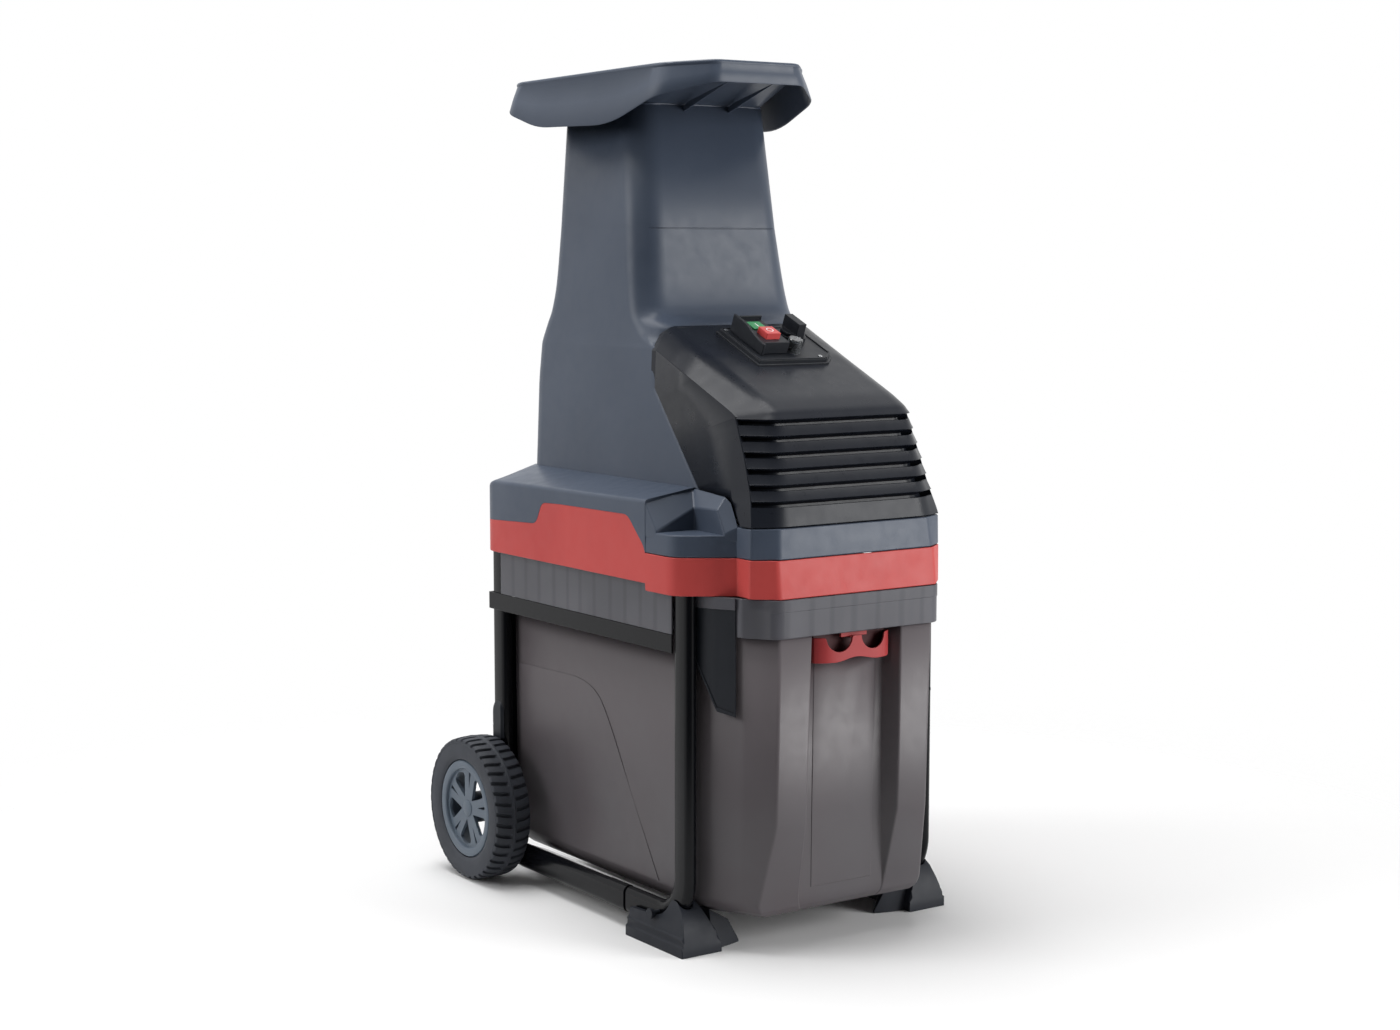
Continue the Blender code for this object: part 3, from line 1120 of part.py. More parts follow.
def build_frame():
    for name, side, _ in SIDES:
        for section in ("front", "rear"):
            tube = tube_mesh(name + "_frame_" + section, section, side, finish="tube")
            wall = tube.modifiers.new("wall", "SOLIDIFY")
            wall.thickness = TUBE_WALL
            wall.offset = -1
            wall.use_even_offset = True
            if section == "rear":
                centre = (side * TUBE_X, AXLE_DEPTH, TYRE_RADIUS)
                boolean(tube, cylinder("axle_hole", AXLE_RADIUS + GAP, 0.05, centre, "X", sides=16))
        inner = TUBE_X + TUBE_WIDTH / 2 + GAP
        outer = inner + STRIP_THICKNESS
        end = REAR_UPRIGHT + TUBE_DEPTH / 2 + GAP
        hook = TUBE_X - TUBE_WIDTH / 2
        outline = [(inner, STRIP_START), (outer, STRIP_START), (outer, end + STRIP_THICKNESS),
                   (hook, end + STRIP_THICKNESS), (hook, end), (inner, end)]
        outline = [(side * x, y) for x, y in outline]
        prism(name + "_rail", outline, "Z", RAIL_TOP - RAIL_HEIGHT, RAIL_TOP - GAP, "tube")
        low, high = sorted((side * inner, side * outer))
        box(name + "_side_band", (low, STRIP_START, RAIL_TOP), (high, BAND_END, FRAME_TOP), "smoke")
    length = 2 * (TUBE_X - TUBE_WIDTH / 2 - GAP)
    centre = (0, REAR_UPRIGHT + CROSS_RADIUS, CROSS_HEIGHT)
    cylinder("rear_cross_tube", CROSS_RADIUS, length, centre, "X", "tube", 16)


def build_feet():
    collar = TUBE_X - 0.0125, TUBE_X + 0.0125
    tiers = (  # height, inner edge, outer edge, start, end
        (0.000, FOOT_INNER, FOOT_OUTER, FOOT_START, FOOT_END),
        (0.012, FOOT_INNER, FOOT_OUTER, FOOT_START, FOOT_END),
        (0.015, FOOT_INNER + 0.005, FOOT_OUTER - 0.003, FOOT_START + 0.004, FOOT_END - 0.003),
        (0.024, FOOT_INNER + 0.006, FOOT_OUTER - 0.003, FOOT_START + 0.004, FOOT_END - 0.003),
        (0.028, FOOT_INNER + 0.010, FOOT_OUTER - 0.006, FOOT_START + 0.006, FOOT_END - 0.006),
        (0.044, collar[0] - 0.0010, collar[1] + 0.0020, FOOT_START + 0.007, FOOT_END - 0.012),
        (FOOT_TOP, *collar, FOOT_START + 0.006, FOOT_START + 0.048),
    )
    joint = TUBE_X + TUBE_WIDTH / 2 + 2 * GAP
    face = TUBE_X + 0.0175
    near = FOOT_INNER + 0.002
    tip = (FOOT_INNER - FIN_REACH, FOOT_START + 0.021)
    fin = [(near, FOOT_START + 0.006), tip, (near, FOOT_START + 0.040)]
    end = joint - face
    bolt = [(0, 0.004), (BOLT_HEAD, 0.004), (BOLT_HEAD, 0), (BOLT_RADIUS, 0), (BOLT_RADIUS, end), (0, end)]
    for name, side, outward in SIDES:
        rings = []
        for height, inner, outer, start, end in tiers:
            corners = ((inner, start), (outer, start), (outer, end), (inner, end))
            rings.append([(side * x, y, height) for x, y in corners])
        foot = loft(name + "_foot", rings, "black")
        boolean(foot, prism("foot_fin", [(side * x, y) for x, y in fin], "Z", 0, FIN_THICKNESS), "UNION")
        boolean(foot, tube_mesh(name + "_foot_channel", "front", side, grow=GAP))
        centre = (side * (joint + 0.02), BOLT_DEPTH, BOLT_HEIGHT)
        boolean(foot, cylinder("bolt_hole", BOLT_RADIUS + GAP, 0.05, centre, "X", sides=12))
        turned(name + "_foot_bolt", bolt, (side * face, BOLT_DEPTH, BOLT_HEIGHT), outward, "steel", 12)


def tyre_ring(x, pattern):
    """One ring of the tyre: its radius at each of four points a lug."""
    ring = []
    for i in range(4 * LUGS):
        angle = 2 * math.pi * (i if i % 2 == 0 else i - 0.2) / (4 * LUGS)
        radius = pattern[i % 4]
        ring.append((x, radius * math.cos(angle), radius * math.sin(angle)))
    return ring


def rim_window(wheel, side, middle):
    """Cuts one window between two spokes: narrow at the hub, wide at the rim."""
    window = []
    outer = RIM_RADIUS - RIM_FLANGE - 0.0053
    for radius, reaches in ((HUB_RADIUS + 0.008, (-0.30, 0, 0.30)), (outer, (0.42, 0, -0.42))):
        for reach in reaches:
            angle = middle + reach
            window.append((AXLE_DEPTH + radius * math.cos(angle), TYRE_RADIUS + radius * math.sin(angle)))
    low, high = sorted((side * (WHEEL_X - 0.01), side * (WHEEL_X + 0.03)))
    boolean(wheel, prism("rim_window", window, "X", low, high))


def build_wheels():
    half = TYRE_WIDTH / 2
    low = TYRE_RADIUS - TREAD_DEPTH
    first = (TYRE_RADIUS, TYRE_RADIUS, low, low)
    second = (low, low, TYRE_RADIUS, TYRE_RADIUS)
    shoulder = (TYRE_RADIUS - TYRE_SHOULDER,) * 4
    bead = (RIM_RADIUS + RIM_BEAD,) * 4
    seat = (RIM_RADIUS,) * 4
    stations = (
        (-half, shoulder), (-half + 0.004, first), (-0.0008, first), (0.0008, second), (half - 0.004, second),
        (half, shoulder), (half, bead), (half - 0.003, seat), (-half + 0.003, seat), (-half, bead),
    )
    rim = RIM_RADIUS - GAP
    edge = RIM_HALF_WIDTH
    lip = rim - RIM_FLANGE
    bore = AXLE_RADIUS + GAP
    hub = HUB_RADIUS
    profile = [
        (rim, edge), (rim, -edge), (lip, -edge), (lip, WEB[0]), (hub, WEB[0]), (hub, HUB_INNER),
        (bore, HUB_INNER), (bore, HUB_OUTER), (hub, HUB_OUTER), (hub, WEB[1]), (lip, WEB[1]), (lip, edge),
    ]
    cap = [(0, CAP_HEIGHT), (0.007, CAP_HEIGHT - 0.001), (CAP_RADIUS, 0.001), (CAP_RADIUS, 0), (0, 0)]
    hub_end = WHEEL_X + HUB_OUTER
    for name, side, outward in SIDES:
        centre = (side * WHEEL_X, AXLE_DEPTH, TYRE_RADIUS)
        rings = [tyre_ring(side * x, pattern) for x, pattern in stations]
        loft(name + "_tyre", rings, "tyre", closed=True, place=centre)
        wheel = turned(name + "_rim", profile, centre, outward, "housing", 30, loop=True)
        for i in range(SPOKES):
            rim_window(wheel, side, math.pi / 2 + 2 * math.pi * (i + 0.5) / SPOKES)
        centre = (side * (hub_end + GAP), AXLE_DEPTH, TYRE_RADIUS)
        turned(name + "_hub_cap", cap, centre, outward, "housing", 20)
    cylinder("axle", AXLE_RADIUS, 2 * hub_end, (0, AXLE_DEPTH, TYRE_RADIUS), "X", "steel", 16)


def main():
    build_base_ring()
    build_housing()
    build_upper_panel()
    build_front_cover()
    build_hopper()
    build_chute()
    build_drum_housing()
    build_drum()
    build_pressure_plate()
    build_gears()
    build_gearbox()
    build_motor()
    build_electrics()
    build_controls()
    build_box()
    build_latch()
    build_frame()
    build_feet()
    build_wheels()


main()
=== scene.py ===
# Looks for an electric garden shredder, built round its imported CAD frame. Blender 4.5, metres.
# +X is right for someone at the controls, +Y is the rear with the wheels, +Z is up.

import math

import bmesh
import bpy
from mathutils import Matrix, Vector


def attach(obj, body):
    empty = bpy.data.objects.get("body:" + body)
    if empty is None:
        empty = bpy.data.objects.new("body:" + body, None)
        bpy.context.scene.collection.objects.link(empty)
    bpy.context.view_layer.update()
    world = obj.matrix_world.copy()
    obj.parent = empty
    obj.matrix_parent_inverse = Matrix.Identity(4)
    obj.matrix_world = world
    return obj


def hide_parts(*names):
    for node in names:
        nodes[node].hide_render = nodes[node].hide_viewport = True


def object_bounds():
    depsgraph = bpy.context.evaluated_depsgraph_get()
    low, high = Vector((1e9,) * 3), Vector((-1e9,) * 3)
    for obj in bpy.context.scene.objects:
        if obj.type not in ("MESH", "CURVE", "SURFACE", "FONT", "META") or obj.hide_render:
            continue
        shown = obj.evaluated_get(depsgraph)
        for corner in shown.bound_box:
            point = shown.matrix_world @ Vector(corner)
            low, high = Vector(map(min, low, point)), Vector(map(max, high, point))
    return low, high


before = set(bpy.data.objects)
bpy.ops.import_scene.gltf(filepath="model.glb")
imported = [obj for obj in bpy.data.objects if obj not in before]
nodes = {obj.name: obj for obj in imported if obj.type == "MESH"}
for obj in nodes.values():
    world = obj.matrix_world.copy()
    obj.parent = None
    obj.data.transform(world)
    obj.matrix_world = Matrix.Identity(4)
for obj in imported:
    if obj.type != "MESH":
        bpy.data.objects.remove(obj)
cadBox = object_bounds()
frontY = cadBox[0].y                    # a depth in this file counts back from here
sides = ((-1, "left"), (1, "right"))
print("frame loaded with", len(nodes), "nodes")


def hexColour(text):
    channels = [int(text[i:i + 2], 16) / 255 for i in (1, 3, 5)]
    return (*[c / 12.92 if c <= 0.04045 else ((c + 0.055) / 1.055) ** 2.4 for c in channels], 1)


def addNode(material, kind, output, inputs=None, **settings):
    # settings are the node's own values, inputs are numbers, colours or sockets to link from
    node = material.node_tree.nodes.new(kind)
    for key, value in settings.items():
        setattr(node, key, value)
    for key, value in (inputs or {}).items():
        if isinstance(value, bpy.types.NodeSocket):
            material.node_tree.links.new(value, node.inputs[key])
        else:
            node.inputs[key].default_value = value
    return node.outputs[output]


def mapRange(material, value, low, high, start=0.0, end=1.0, **settings):
    inputs = {"Value": value, 1: low, 2: high, 3: start, 4: end}
    return addNode(material, "ShaderNodeMapRange", "Result", inputs, **settings)


def noise(material, place, scale, detail):
    return addNode(material, "ShaderNodeTexNoise", "Fac", {"Vector": place, "Scale": scale, "Detail": detail})


def stretched(material, place, scale):
    return addNode(material, "ShaderNodeMapping", "Vector", {"Vector": place, "Scale": scale})


def mixColours(material, share, first, second):
    inputs = {"Factor": share, "A": first, "B": second}
    return addNode(material, "ShaderNodeMix", "Result", inputs, data_type="RGBA")


def linkTo(material, socket, target):
    material.node_tree.links.new(socket, target)


def startMaterial(name, **sockets):
    material = bpy.data.materials.new(name)
    material.use_nodes = True
    shader = material.node_tree.nodes["Principled BSDF"]
    for key, value in sockets.items():
        shader.inputs[key.replace("_", " ")].default_value = value
    return material, shader


# the patterns' sizes: a noise has its scale, in marks per metre, and its detail, and a used pair is the part
# of its values that is spread over the whole range
surface = {
    "cloud": (9.0, 3.0), "cloudUsed": (0.35, 0.65), "flowStretch": (38, 38, 3), "flow": (1.0, 4.0),
    "flowUsed": (0.45, 0.75), "paintedGlowHeights": (0.10, 0.36), "ribShadeFlat": (1, 1, 0),
    "ribShade": {"Scale": 20.0, "Distortion": 3.0, "Detail Scale": 0.5}, "ribShadeUsed": (0.75, 1.0),
    "ribShadeShown": 0.42, "wear": (60.0, 5.0), "wearUsed": (0.3, 0.7), "grainDetail": 2.0, "plasticBump": 0.0003,
    "marksDetail": 5.0, "metalBump": 0.0004,
}


def closeSurface(material, shader, colour, wear, gloss, grain, grainDepth, distance):
    # the end of every finish: its colour, a gloss that changes with the wear, and its grain
    bump = {"Height": grain, "Strength": grainDepth, "Distance": distance}
    linkTo(material, colour, shader.inputs["Base Color"])
    linkTo(material, mapRange(material, wear, *surface["wearUsed"], *gloss), shader.inputs["Roughness"])
    linkTo(material, addNode(material, "ShaderNodeBump", "Normal", bump), shader.inputs["Normal"])
    return material


def mouldedPlastic(name, base, second, roughness, grainMm, grainDepth, streaks=0.0, shine=0.28, ribShade="",
                   paintedGlow=""):
    # an injection-moulded skin: fine spark-eroded grain, faint cloudy pigment and, where asked, the vertical
    # flow marks that hot plastic leaves behind thick ribbing, or painted shade in stripes where each rib
    # behind a thin wall holds back light; with a painted-light colour the wall is painted lighter towards the
    # top, standing in for daylight that comes through it
    material, shader = startMaterial(name, Specular_IOR_Level=shine)
    place = addNode(material, "ShaderNodeTexCoord", "Object")
    spread = mapRange(material, noise(material, place, *surface["cloud"]), *surface["cloudUsed"])
    if streaks:
        thin = stretched(material, place, surface["flowStretch"])
        mark = mapRange(material, noise(material, thin, *surface["flow"]), *surface["flowUsed"])
        mark = addNode(material, "ShaderNodeMath", 0, {0: mark, 1: streaks}, operation="MULTIPLY")
        spread = addNode(material, "ShaderNodeMath", 0, {0: spread, 1: mark}, operation="ADD")
    colour = mixColours(material, spread, hexColour(base), hexColour(second))
    if paintedGlow:
        # painted light: the colour turns lighter towards the top, for the daylight that comes through the
        # wall
        height = addNode(material, "ShaderNodeSeparateXYZ", "Z", {"Vector": place})
        paintedGlowShare = mapRange(material, height, *surface["paintedGlowHeights"], interpolation_type="SMOOTHSTEP")
        colour = mixColours(material, paintedGlowShare, colour, hexColour(paintedGlow))
    # painted shade: dark stripes where each rib behind the thin smoky wall holds back light
    if ribShade:
        wave = {"Vector": stretched(material, place, surface["ribShadeFlat"]), **surface["ribShade"]}
        wave = addNode(material, "ShaderNodeTexWave", "Fac", wave, bands_direction="DIAGONAL")
        shown = mapRange(material, wave, *surface["ribShadeUsed"], end=surface["ribShadeShown"])
        colour = mixColours(material, shown, colour, hexColour(ribShade))
    wear = noise(material, place, *surface["wear"])
    grain = noise(material, place, 1000 / grainMm, surface["grainDetail"])
    gloss = (roughness - 0.04, roughness + 0.05)
    return closeSurface(material, shader, colour, wear, gloss, grain, grainDepth, surface["plasticBump"])


def metalSurface(name, base, second, roughness, scale, depth, stretch=(1, 1, 1), metallic=1.0, shine=0.5):
    # a bare or coated metal: scale is marks per metre, and stretch lays them out as brushing does
    material, shader = startMaterial(name, Metallic=metallic, Specular_IOR_Level=shine)
    place = addNode(material, "ShaderNodeTexCoord", "Object")
    marks = noise(material, stretched(material, place, stretch), scale, surface["marksDetail"])
    colour = mixColours(material, marks, hexColour(base), hexColour(second))
    gloss = (roughness - 0.05, roughness + 0.08)
    return closeSurface(material, shader, colour, marks, gloss, marks, depth, surface["metalBump"])


# grain sizes in millimetres: the real 0.3 mm erosion grain is drawn at 0.7, or it would not show
housingPlastic = mouldedPlastic("moulded_blue_grey_polypropylene", "#434C5B", "#485160", 0.40, 0.7, 0.12)
redPlastic = mouldedPlastic("moulded_red_polypropylene", "#BC4442", "#C54B48", 0.46, 0.7, 0.10, streaks=0.25)
latchPlastic = mouldedPlastic("moulded_deep_red_polypropylene", "#9E3638", "#A83C3D", 0.42, 0.7, 0.08)
coverPlastic = mouldedPlastic("glossy_moulded_black_abs", "#191C24", "#20232A", 0.30, 0.9, 0.06, 0.5, 0.16)
blackPlastic = mouldedPlastic("moulded_black_polyamide", "#191C22", "#1F2228", 0.42, 0.7, 0.14, shine=0.22)
footPlastic = mouldedPlastic("moulded_charcoal_polypropylene", "#1B1E25", "#20232A", 0.5, 0.8, 0.16,
                             shine=0.2)
# painted light: the smoky box is painted lighter towards the top, for daylight through its wall
smokePlastic = mouldedPlastic("blown_smoke_polypropylene", "#504B4E", "#535053", 0.38, 2.5, 0.006, 0.1, 0.30,
                              paintedGlow="#605A5D")
# painted shade: the rim's dark stripes stand in for the shade of each rib behind its thin wall
rimSmoke = mouldedPlastic("moulded_smoke_rim_polypropylene", "#5A5A60", "#515157", 0.32, 1.5, 0.06,
                          streaks=0.6, ribShade="#3A3A40")
rubber = mouldedPlastic("vulcanised_tyre_rubber", "#33363C", "#3B3E45", 0.62, 0.9, 0.30)
rimPlastic = mouldedPlastic("moulded_slate_wheel_nylon", "#55606C", "#5B6672", 0.38, 0.8, 0.10)
greenPlastic = mouldedPlastic("moulded_green_button_abs", "#2F8F56", "#35995D", 0.32, 0.6, 0.05)
redButton = mouldedPlastic("moulded_red_button_abs", "#CF4A4A", "#D65250", 0.32, 0.6, 0.05)
# painted shade: a near-black red that stands in for the shade deep in the latch's hollow
latchShade = mouldedPlastic("painted_shade_dark_red_inner_wall", "#3A1418", "#45181C", 0.55, 0.7, 0.10)
markPaint = mouldedPlastic("printed_white_mark", "#ECECEA", "#F4F4F2", 0.45, 0.5, 0.04)
tubeCoat = metalSurface("powder_coated_black_steel_tube", "#090A0D", "#0D0E12", 0.16, 900.0, 0.05,
                        metallic=0.0, shine=0.16)
turnedSteel = metalSurface("turned_bright_steel", "#9A9B9D", "#B4B5B7", 0.28, 260.0, 0.10, (1, 6, 6))
hardenedSteel = metalSurface("hardened_tool_steel", "#74767A", "#8B8D90", 0.34, 180.0, 0.15)
castAluminium = metalSurface("sand_cast_aluminium", "#9B9C9E", "#B2B3B5", 0.55, 600.0, 0.35)
castIron = metalSurface("cast_iron_with_skin", "#4C4D50", "#5D5E61", 0.6, 500.0, 0.4)
enamelledCopper = metalSurface("enamelled_copper_winding", "#8C4F2A", "#A9653A", 0.35, 400.0, 0.3, (1, 14, 1))
clearPlastic = startMaterial("cast_clear_acrylic", Roughness=0.05, IOR=1.49, Transmission_Weight=0.95,
                             Base_Color=hexColour("#C9CDD0"))[0]
print("finishes made")


def namesIn(line):
    # the names in a line of words, where a star stands for left and for right
    words = line.split()
    return [name for word in words for name in dict.fromkeys(word.replace("*", side) for _, side in sides)]


finishes = (
    (housingPlastic, "main_housing upper_front_panel hopper *_rim *_hub_cap"),
    (redPlastic, "base_ring"), (latchPlastic, "box_latch"), (coverPlastic, "front_cover"),
    (blackPlastic, "feed_chute start_capacitor interlock_switch mains_inlet control_plate switch_housing "
                   "selector_knob reset_button adjusting_knob cooling_fan *_box_shoulder"),
    (footPlastic, "*_foot *_foot_bolt"), (smokePlastic, "collection_box"), (rimSmoke, "box_rim *_side_band"),
    (tubeCoat, "*_frame_front *_frame_rear rear_cross_tube *_rail"), (rubber, "*_tyre"),
    (greenPlastic, "start_button"), (redButton, "stop_button"), (clearPlastic, "reset_cap"),
    (turnedSteel, "axle adjusting_screw drum_shaft lay_shaft motor_shaft motor_rotor front_drum_bearing "
                  "rear_drum_bearing interlock_plunger"),
    (hardenedSteel, "crushing_drum drum_gear lay_gear"), (castIron, "pressure_plate"),
    (castAluminium, "drum_housing gearbox_housing gearbox_cover motor_housing"),
    (enamelledCopper, "motor_stator"),
)
for material, line in finishes:
    for name in namesIn(line):
        nodes[name].data.materials.clear()
        nodes[name].data.materials.append(material)
print("CAD pieces finished")


def roundEdges(obj, width, segments=2, angle=28):
    bevel = obj.modifiers.new("rounded edges", "BEVEL")
    bevel.width = width
    bevel.segments = segments
    bevel.limit_method = "ANGLE"
    bevel.angle_limit = math.radians(angle)
    bevel.harden_normals = True


# the plastic and steel CAD pieces in sight get rounded edges, for the light to catch
rounded = {
    "names": "control_plate switch_housing selector_knob start_button stop_button *_rail *_side_band",
    "width": 0.0006, "joined": 0.00002, "flatAngle": 1.5,
}
for name in namesIn(rounded["names"]):
    # points and flat facets are joined first, then the edges are bevelled
    weld = nodes[name].modifiers.new("joined points", "WELD")
    weld.merge_threshold = rounded["joined"]
    flat = nodes[name].modifiers.new("flat facets joined", "DECIMATE")
    flat.decimate_type = "DISSOLVE"
    flat.angle_limit = math.radians(rounded["flatAngle"])
    roundEdges(nodes[name], rounded["width"])


def at(x, depth, z):
    return (x, frontY + depth, z)


def ease(points, setbacks, steps=4, closed=True):
    # rounds the corners of a line: a corner gives steps + 1 points, or one where its setback is 0
    eased = []
    last = len(points) - 1
    for i, point in enumerate(points):
        corner = Vector(point)
        if not setbacks[i] or (not closed and i in (0, last)):
            eased.append(tuple(corner))
            continue
        before = Vector(points[i - 1]) - corner
        after = Vector(points[(i + 1) % len(points)]) - corner
        start = corner + before.normalized() * min(setbacks[i], 0.45 * before.length)
        end = corner + after.normalized() * min(setbacks[i], 0.45 * after.length)
        for k in range(steps + 1):
            t = k / steps
            eased.append(tuple(start * (1 - t) ** 2 + corner * 2 * t * (1 - t) + end * t ** 2))
    return eased


def easeRows(rows, setbacks, steps=3):
    # the same along the rows of a skin, so that its profile runs smoothly
    columns = [ease(column, setbacks, steps, closed=False) for column in zip(*rows)]
    return [list(row) for row in zip(*columns)]


def mirrored(half):
    # a closed outline from its right half, given from the front middle to the rear middle
    left = [(-point[0], *point[1:]) for point in reversed(half) if point[0] > 1e-6]
    return list(half) + left


def easedRing(half, setbacks, steps):
    # a closed outline with rounded corners, from its right half and that half's setbacks
    return ease(mirrored(half), (*setbacks, *setbacks[-2:0:-1]), steps)


def openMirror(half):
    # an open line from its right half, which starts in the middle
    return [*[(-x, depth, z) for x, depth, z in reversed(half[1:])], *half]


def onSide(side, ring):
    # a ring that is given for the right, at either side and still anticlockwise
    placed = [(side * x, depth, z) for x, depth, z in ring]
    return placed if side > 0 else placed[::-1]


def rectangle(left, right, front, back):
    return [(left, front), (right, front), (right, back), (left, back)]


def shareOf(value, start, reach):
    # how far a value has come past a start, from 0 to 1
    return min(max((value - start) / reach, 0), 1)


def between(table, key):
    # a table's row at any height, read between its rows; the first column is the key, falling
    for upper, lower in zip(table, table[1:]):
        if lower[0] <= key <= upper[0]:
            share = (key - lower[0]) / (upper[0] - lower[0])
            return tuple(b + (a - b) * share for a, b in zip(upper, lower))
    return table[0] if key > table[0][0] else table[-1]


def addObject(name, data):
    obj = bpy.data.objects.new(name, data)
    bpy.context.scene.collection.objects.link(obj)
    return obj


def meshFrom(name, bm):
    mesh = bpy.data.meshes.new(name)
    bm.to_mesh(mesh)
    bm.free()
    return mesh


def makePiece(name, points, faces, material, body="chassis", stands=(), sharp=32, closed=True,
              wall=0.0, even=True, bevel=0.0, merge=0.00001):
    bm = bmesh.new()
    verts = [bm.verts.new(point) for point in points]
    for face in faces:
        bm.faces.new([verts[i] for i in face])
    bmesh.ops.remove_doubles(bm, verts=bm.verts, dist=merge)
    bmesh.ops.dissolve_degenerate(bm, dist=merge, edges=bm.edges)
    if closed:
        bmesh.ops.recalc_face_normals(bm, faces=bm.faces)
    mesh = meshFrom(name, bm)
    mesh.shade_smooth()
    mesh.set_sharp_from_angle(angle=math.radians(sharp))
    mesh.materials.append(material)
    obj = addObject(name, mesh)
    if wall:
        shell = obj.modifiers.new("wall", "SOLIDIFY")
        shell.thickness = wall
        shell.offset = -1
        shell.use_even_offset = even
    if bevel:
        roundEdges(obj, bevel)
    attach(obj, body)
    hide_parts(*stands)
    return obj


def loftPiece(name, rows, material, around=True, lids=True, **rest):
    # rows of points from the bottom up, each anticlockwise seen from above; lids="bottom" leaves the top open
    width = len(rows[0])
    points = [at(*point) for row in rows for point in row]
    faces = []
    for i in range(len(rows) - 1):
        for j in range(width if around else width - 1):
            k = (j + 1) % width
            faces.append((i * width + j, i * width + k, (i + 1) * width + k, (i + 1) * width + j))
    if lids:
        faces.append(tuple(range(width - 1, -1, -1)))
    if lids is True:
        faces.append(tuple(range((len(rows) - 1) * width, len(rows) * width)))
    rest.setdefault("closed", lids is True)
    return makePiece(name, points, faces, material, **rest)


def barPiece(name, outline, heights, material, **rest):
    # a bar from its outline in width and depth and its lower and upper height
    rows = [[(x, depth, z) for x, depth in outline] for z in heights]
    return loftPiece(name, rows, material, **rest)


def carve(obj, cutter):
    # cuts one shape out of another for good, before its edges are rounded
    cut = obj.modifiers.new("cut", "BOOLEAN")
    cut.operation = "DIFFERENCE"
    cut.solver = "EXACT"
    cut.object = cutter
    bpy.context.view_layer.update()
    shape = bpy.data.meshes.new_from_object(obj.evaluated_get(bpy.context.evaluated_depsgraph_get()))
    obj.modifiers.remove(cut)
    shape.materials.clear()
    shape.materials.append(obj.data.materials[0])
    obj.data = shape
    obj.data.shade_smooth()
    bpy.data.objects.remove(cutter)


# feed tower, moulded in one with its rounded front ridges; sizes in metres, depths from the front
tower = {
    # height, panel depth, panel half-width, ridge depth, half-width, rear depth, softness of the bend there
    "rows": (
        (0.935, 0.2955, 0.0785, 0.318, 0.097, 0.4612, 0), (0.793, 0.277, 0.086, 0.3005, 0.105, 0.4655, 0),
        (0.725, 0.2682, 0.0892, 0.288, 0.1103, 0.4678, 0.03),
        (0.694, 0.2585, 0.091, 0.2795, 0.1127, 0.4755, 0.012),
        (0.6825, 0.2335, 0.093, 0.27, 0.1135, 0.4825, 0.01),
        (0.672, 0.2318, 0.097, 0.259, 0.1143, 0.4875, 0.006),
        (0.662, 0.2318, 0.101, 0.2395, 0.115, 0.4925, 0.006),
        (0.6565, 0.2318, 0.106, 0.2212, 0.1155, 0.4945, 0.004),
        (0.613, 0.2276, 0.11, 0.2272, 0.1175, 0.4985, 0.01), (0.506, 0.1346, 0.114, 0.1342, 0.122, 0.4985, 0),
        (0.47, 0.1346, 0.114, 0.1342, 0.122, 0.4985, 0),
    ),
    "panelEdge": 0.016, "ridge": 0.011, "rear": 0.026, "wall": 0.003,
    "seamHeight": 0.793, "seamWidth": 0.0009, "seamEdge": 0.0004, "seamDepth": 0.0016,
    "frontPoints": range(3, 11),
}


def towerRing(row):
    z, panel, panelHalf, ridge, half, rear = row[:6]
    outline = [(-panelHalf, panel, z), (panelHalf, panel, z), (half, ridge, z),
               (half, rear, z), (-half, rear, z), (-half, ridge, z)]
    edge, crest, back = tower["panelEdge"], tower["ridge"], tower["rear"]
    return ease(outline, (edge, edge, crest, back, back, crest), 6)


def buildTower():
    rows, seam, gap = tower["rows"], tower["seamHeight"], tower["seamWidth"] / 2
    low = [row for row in rows if row[0] < seam]
    shifts = (-gap - tower["seamEdge"], -gap, gap, gap + tower["seamEdge"])
    keys = [*reversed(low), *[(*between(rows, seam + shift)[:6], 0) for shift in shifts], rows[0]]
    rings = [towerRing(row) for row in keys]
    for ring in rings[len(low) + 1:len(low) + 3]:          # the seam is a fine groove across the front face
        for i in tower["frontPoints"]:
            x, depth, z = ring[i]
            ring[i] = (x, depth + tower["seamDepth"], z)
    rings = easeRows(rings, [row[6] for row in keys], 5)
    loftPiece("feed_tower_shell", rings, housingPlastic, lids=False, wall=tower["wall"], sharp=50,
              stands=("main_housing", "upper_front_panel"))


# the skirt behind the ears: its lower edge follows the line where the red ring steps up
skirt = {
    "halfWidth": 0.187, "rear": 0.511, "cornerRadius": 0.035, "start": 0.142, "bottom": 0.397,
    "parting": ((0.482, 0.047), (0.376, 0.052), (0.362, 0.078), (0.3205, 0.0795), (0.178, 0.081),
                (0.146, 0.05), (0.142, 0.0415), (0.0, 0.0415)),
    "partingSoft": (0, 0.009, 0.008, 0, 0.008, 0.004, 0, 0), "sideRise": 0.008,
    "edgeHeight": 0.494, "topHeight": 0.507, "topHalf": 0.1215, "topRear": 0.498, "gap": -0.0001,
    # the ledge's edge falls towards the rear: where each fall starts, over how much depth, and by how much
    "rise": 0.003, "falls": ((0.142, 0.334, 0.0055), (0.476, 0.035, 0.0085)), "tuck": (0.48, 0.031, 0.012),
    # its inner edge turns down beside the tower
    "innerShare": 0.96, "innerRear": 0.494, "innerDrop": 0.004, "setbacks": (0, 0.0045, 0.002, 0),
    "rearPoint": 0.08, "wall": 0.003, "edge": 0.0016,
    # the side takes its points from the parting line, as far back as sideEnd, and has one more
    "sideEnd": 0.47, "sideLast": 0.43,
}
partingLine = ease(skirt["parting"], skirt["partingSoft"], 6, closed=False)
sideDepths = [depth for depth, _ in reversed(partingLine) if skirt["start"] <= depth < skirt["sideEnd"]]
sideDepths = sorted([*sideDepths, skirt["sideLast"]])


def partingHeight(depth):
    return skirt["bottom"] + between(partingLine, depth)[1]


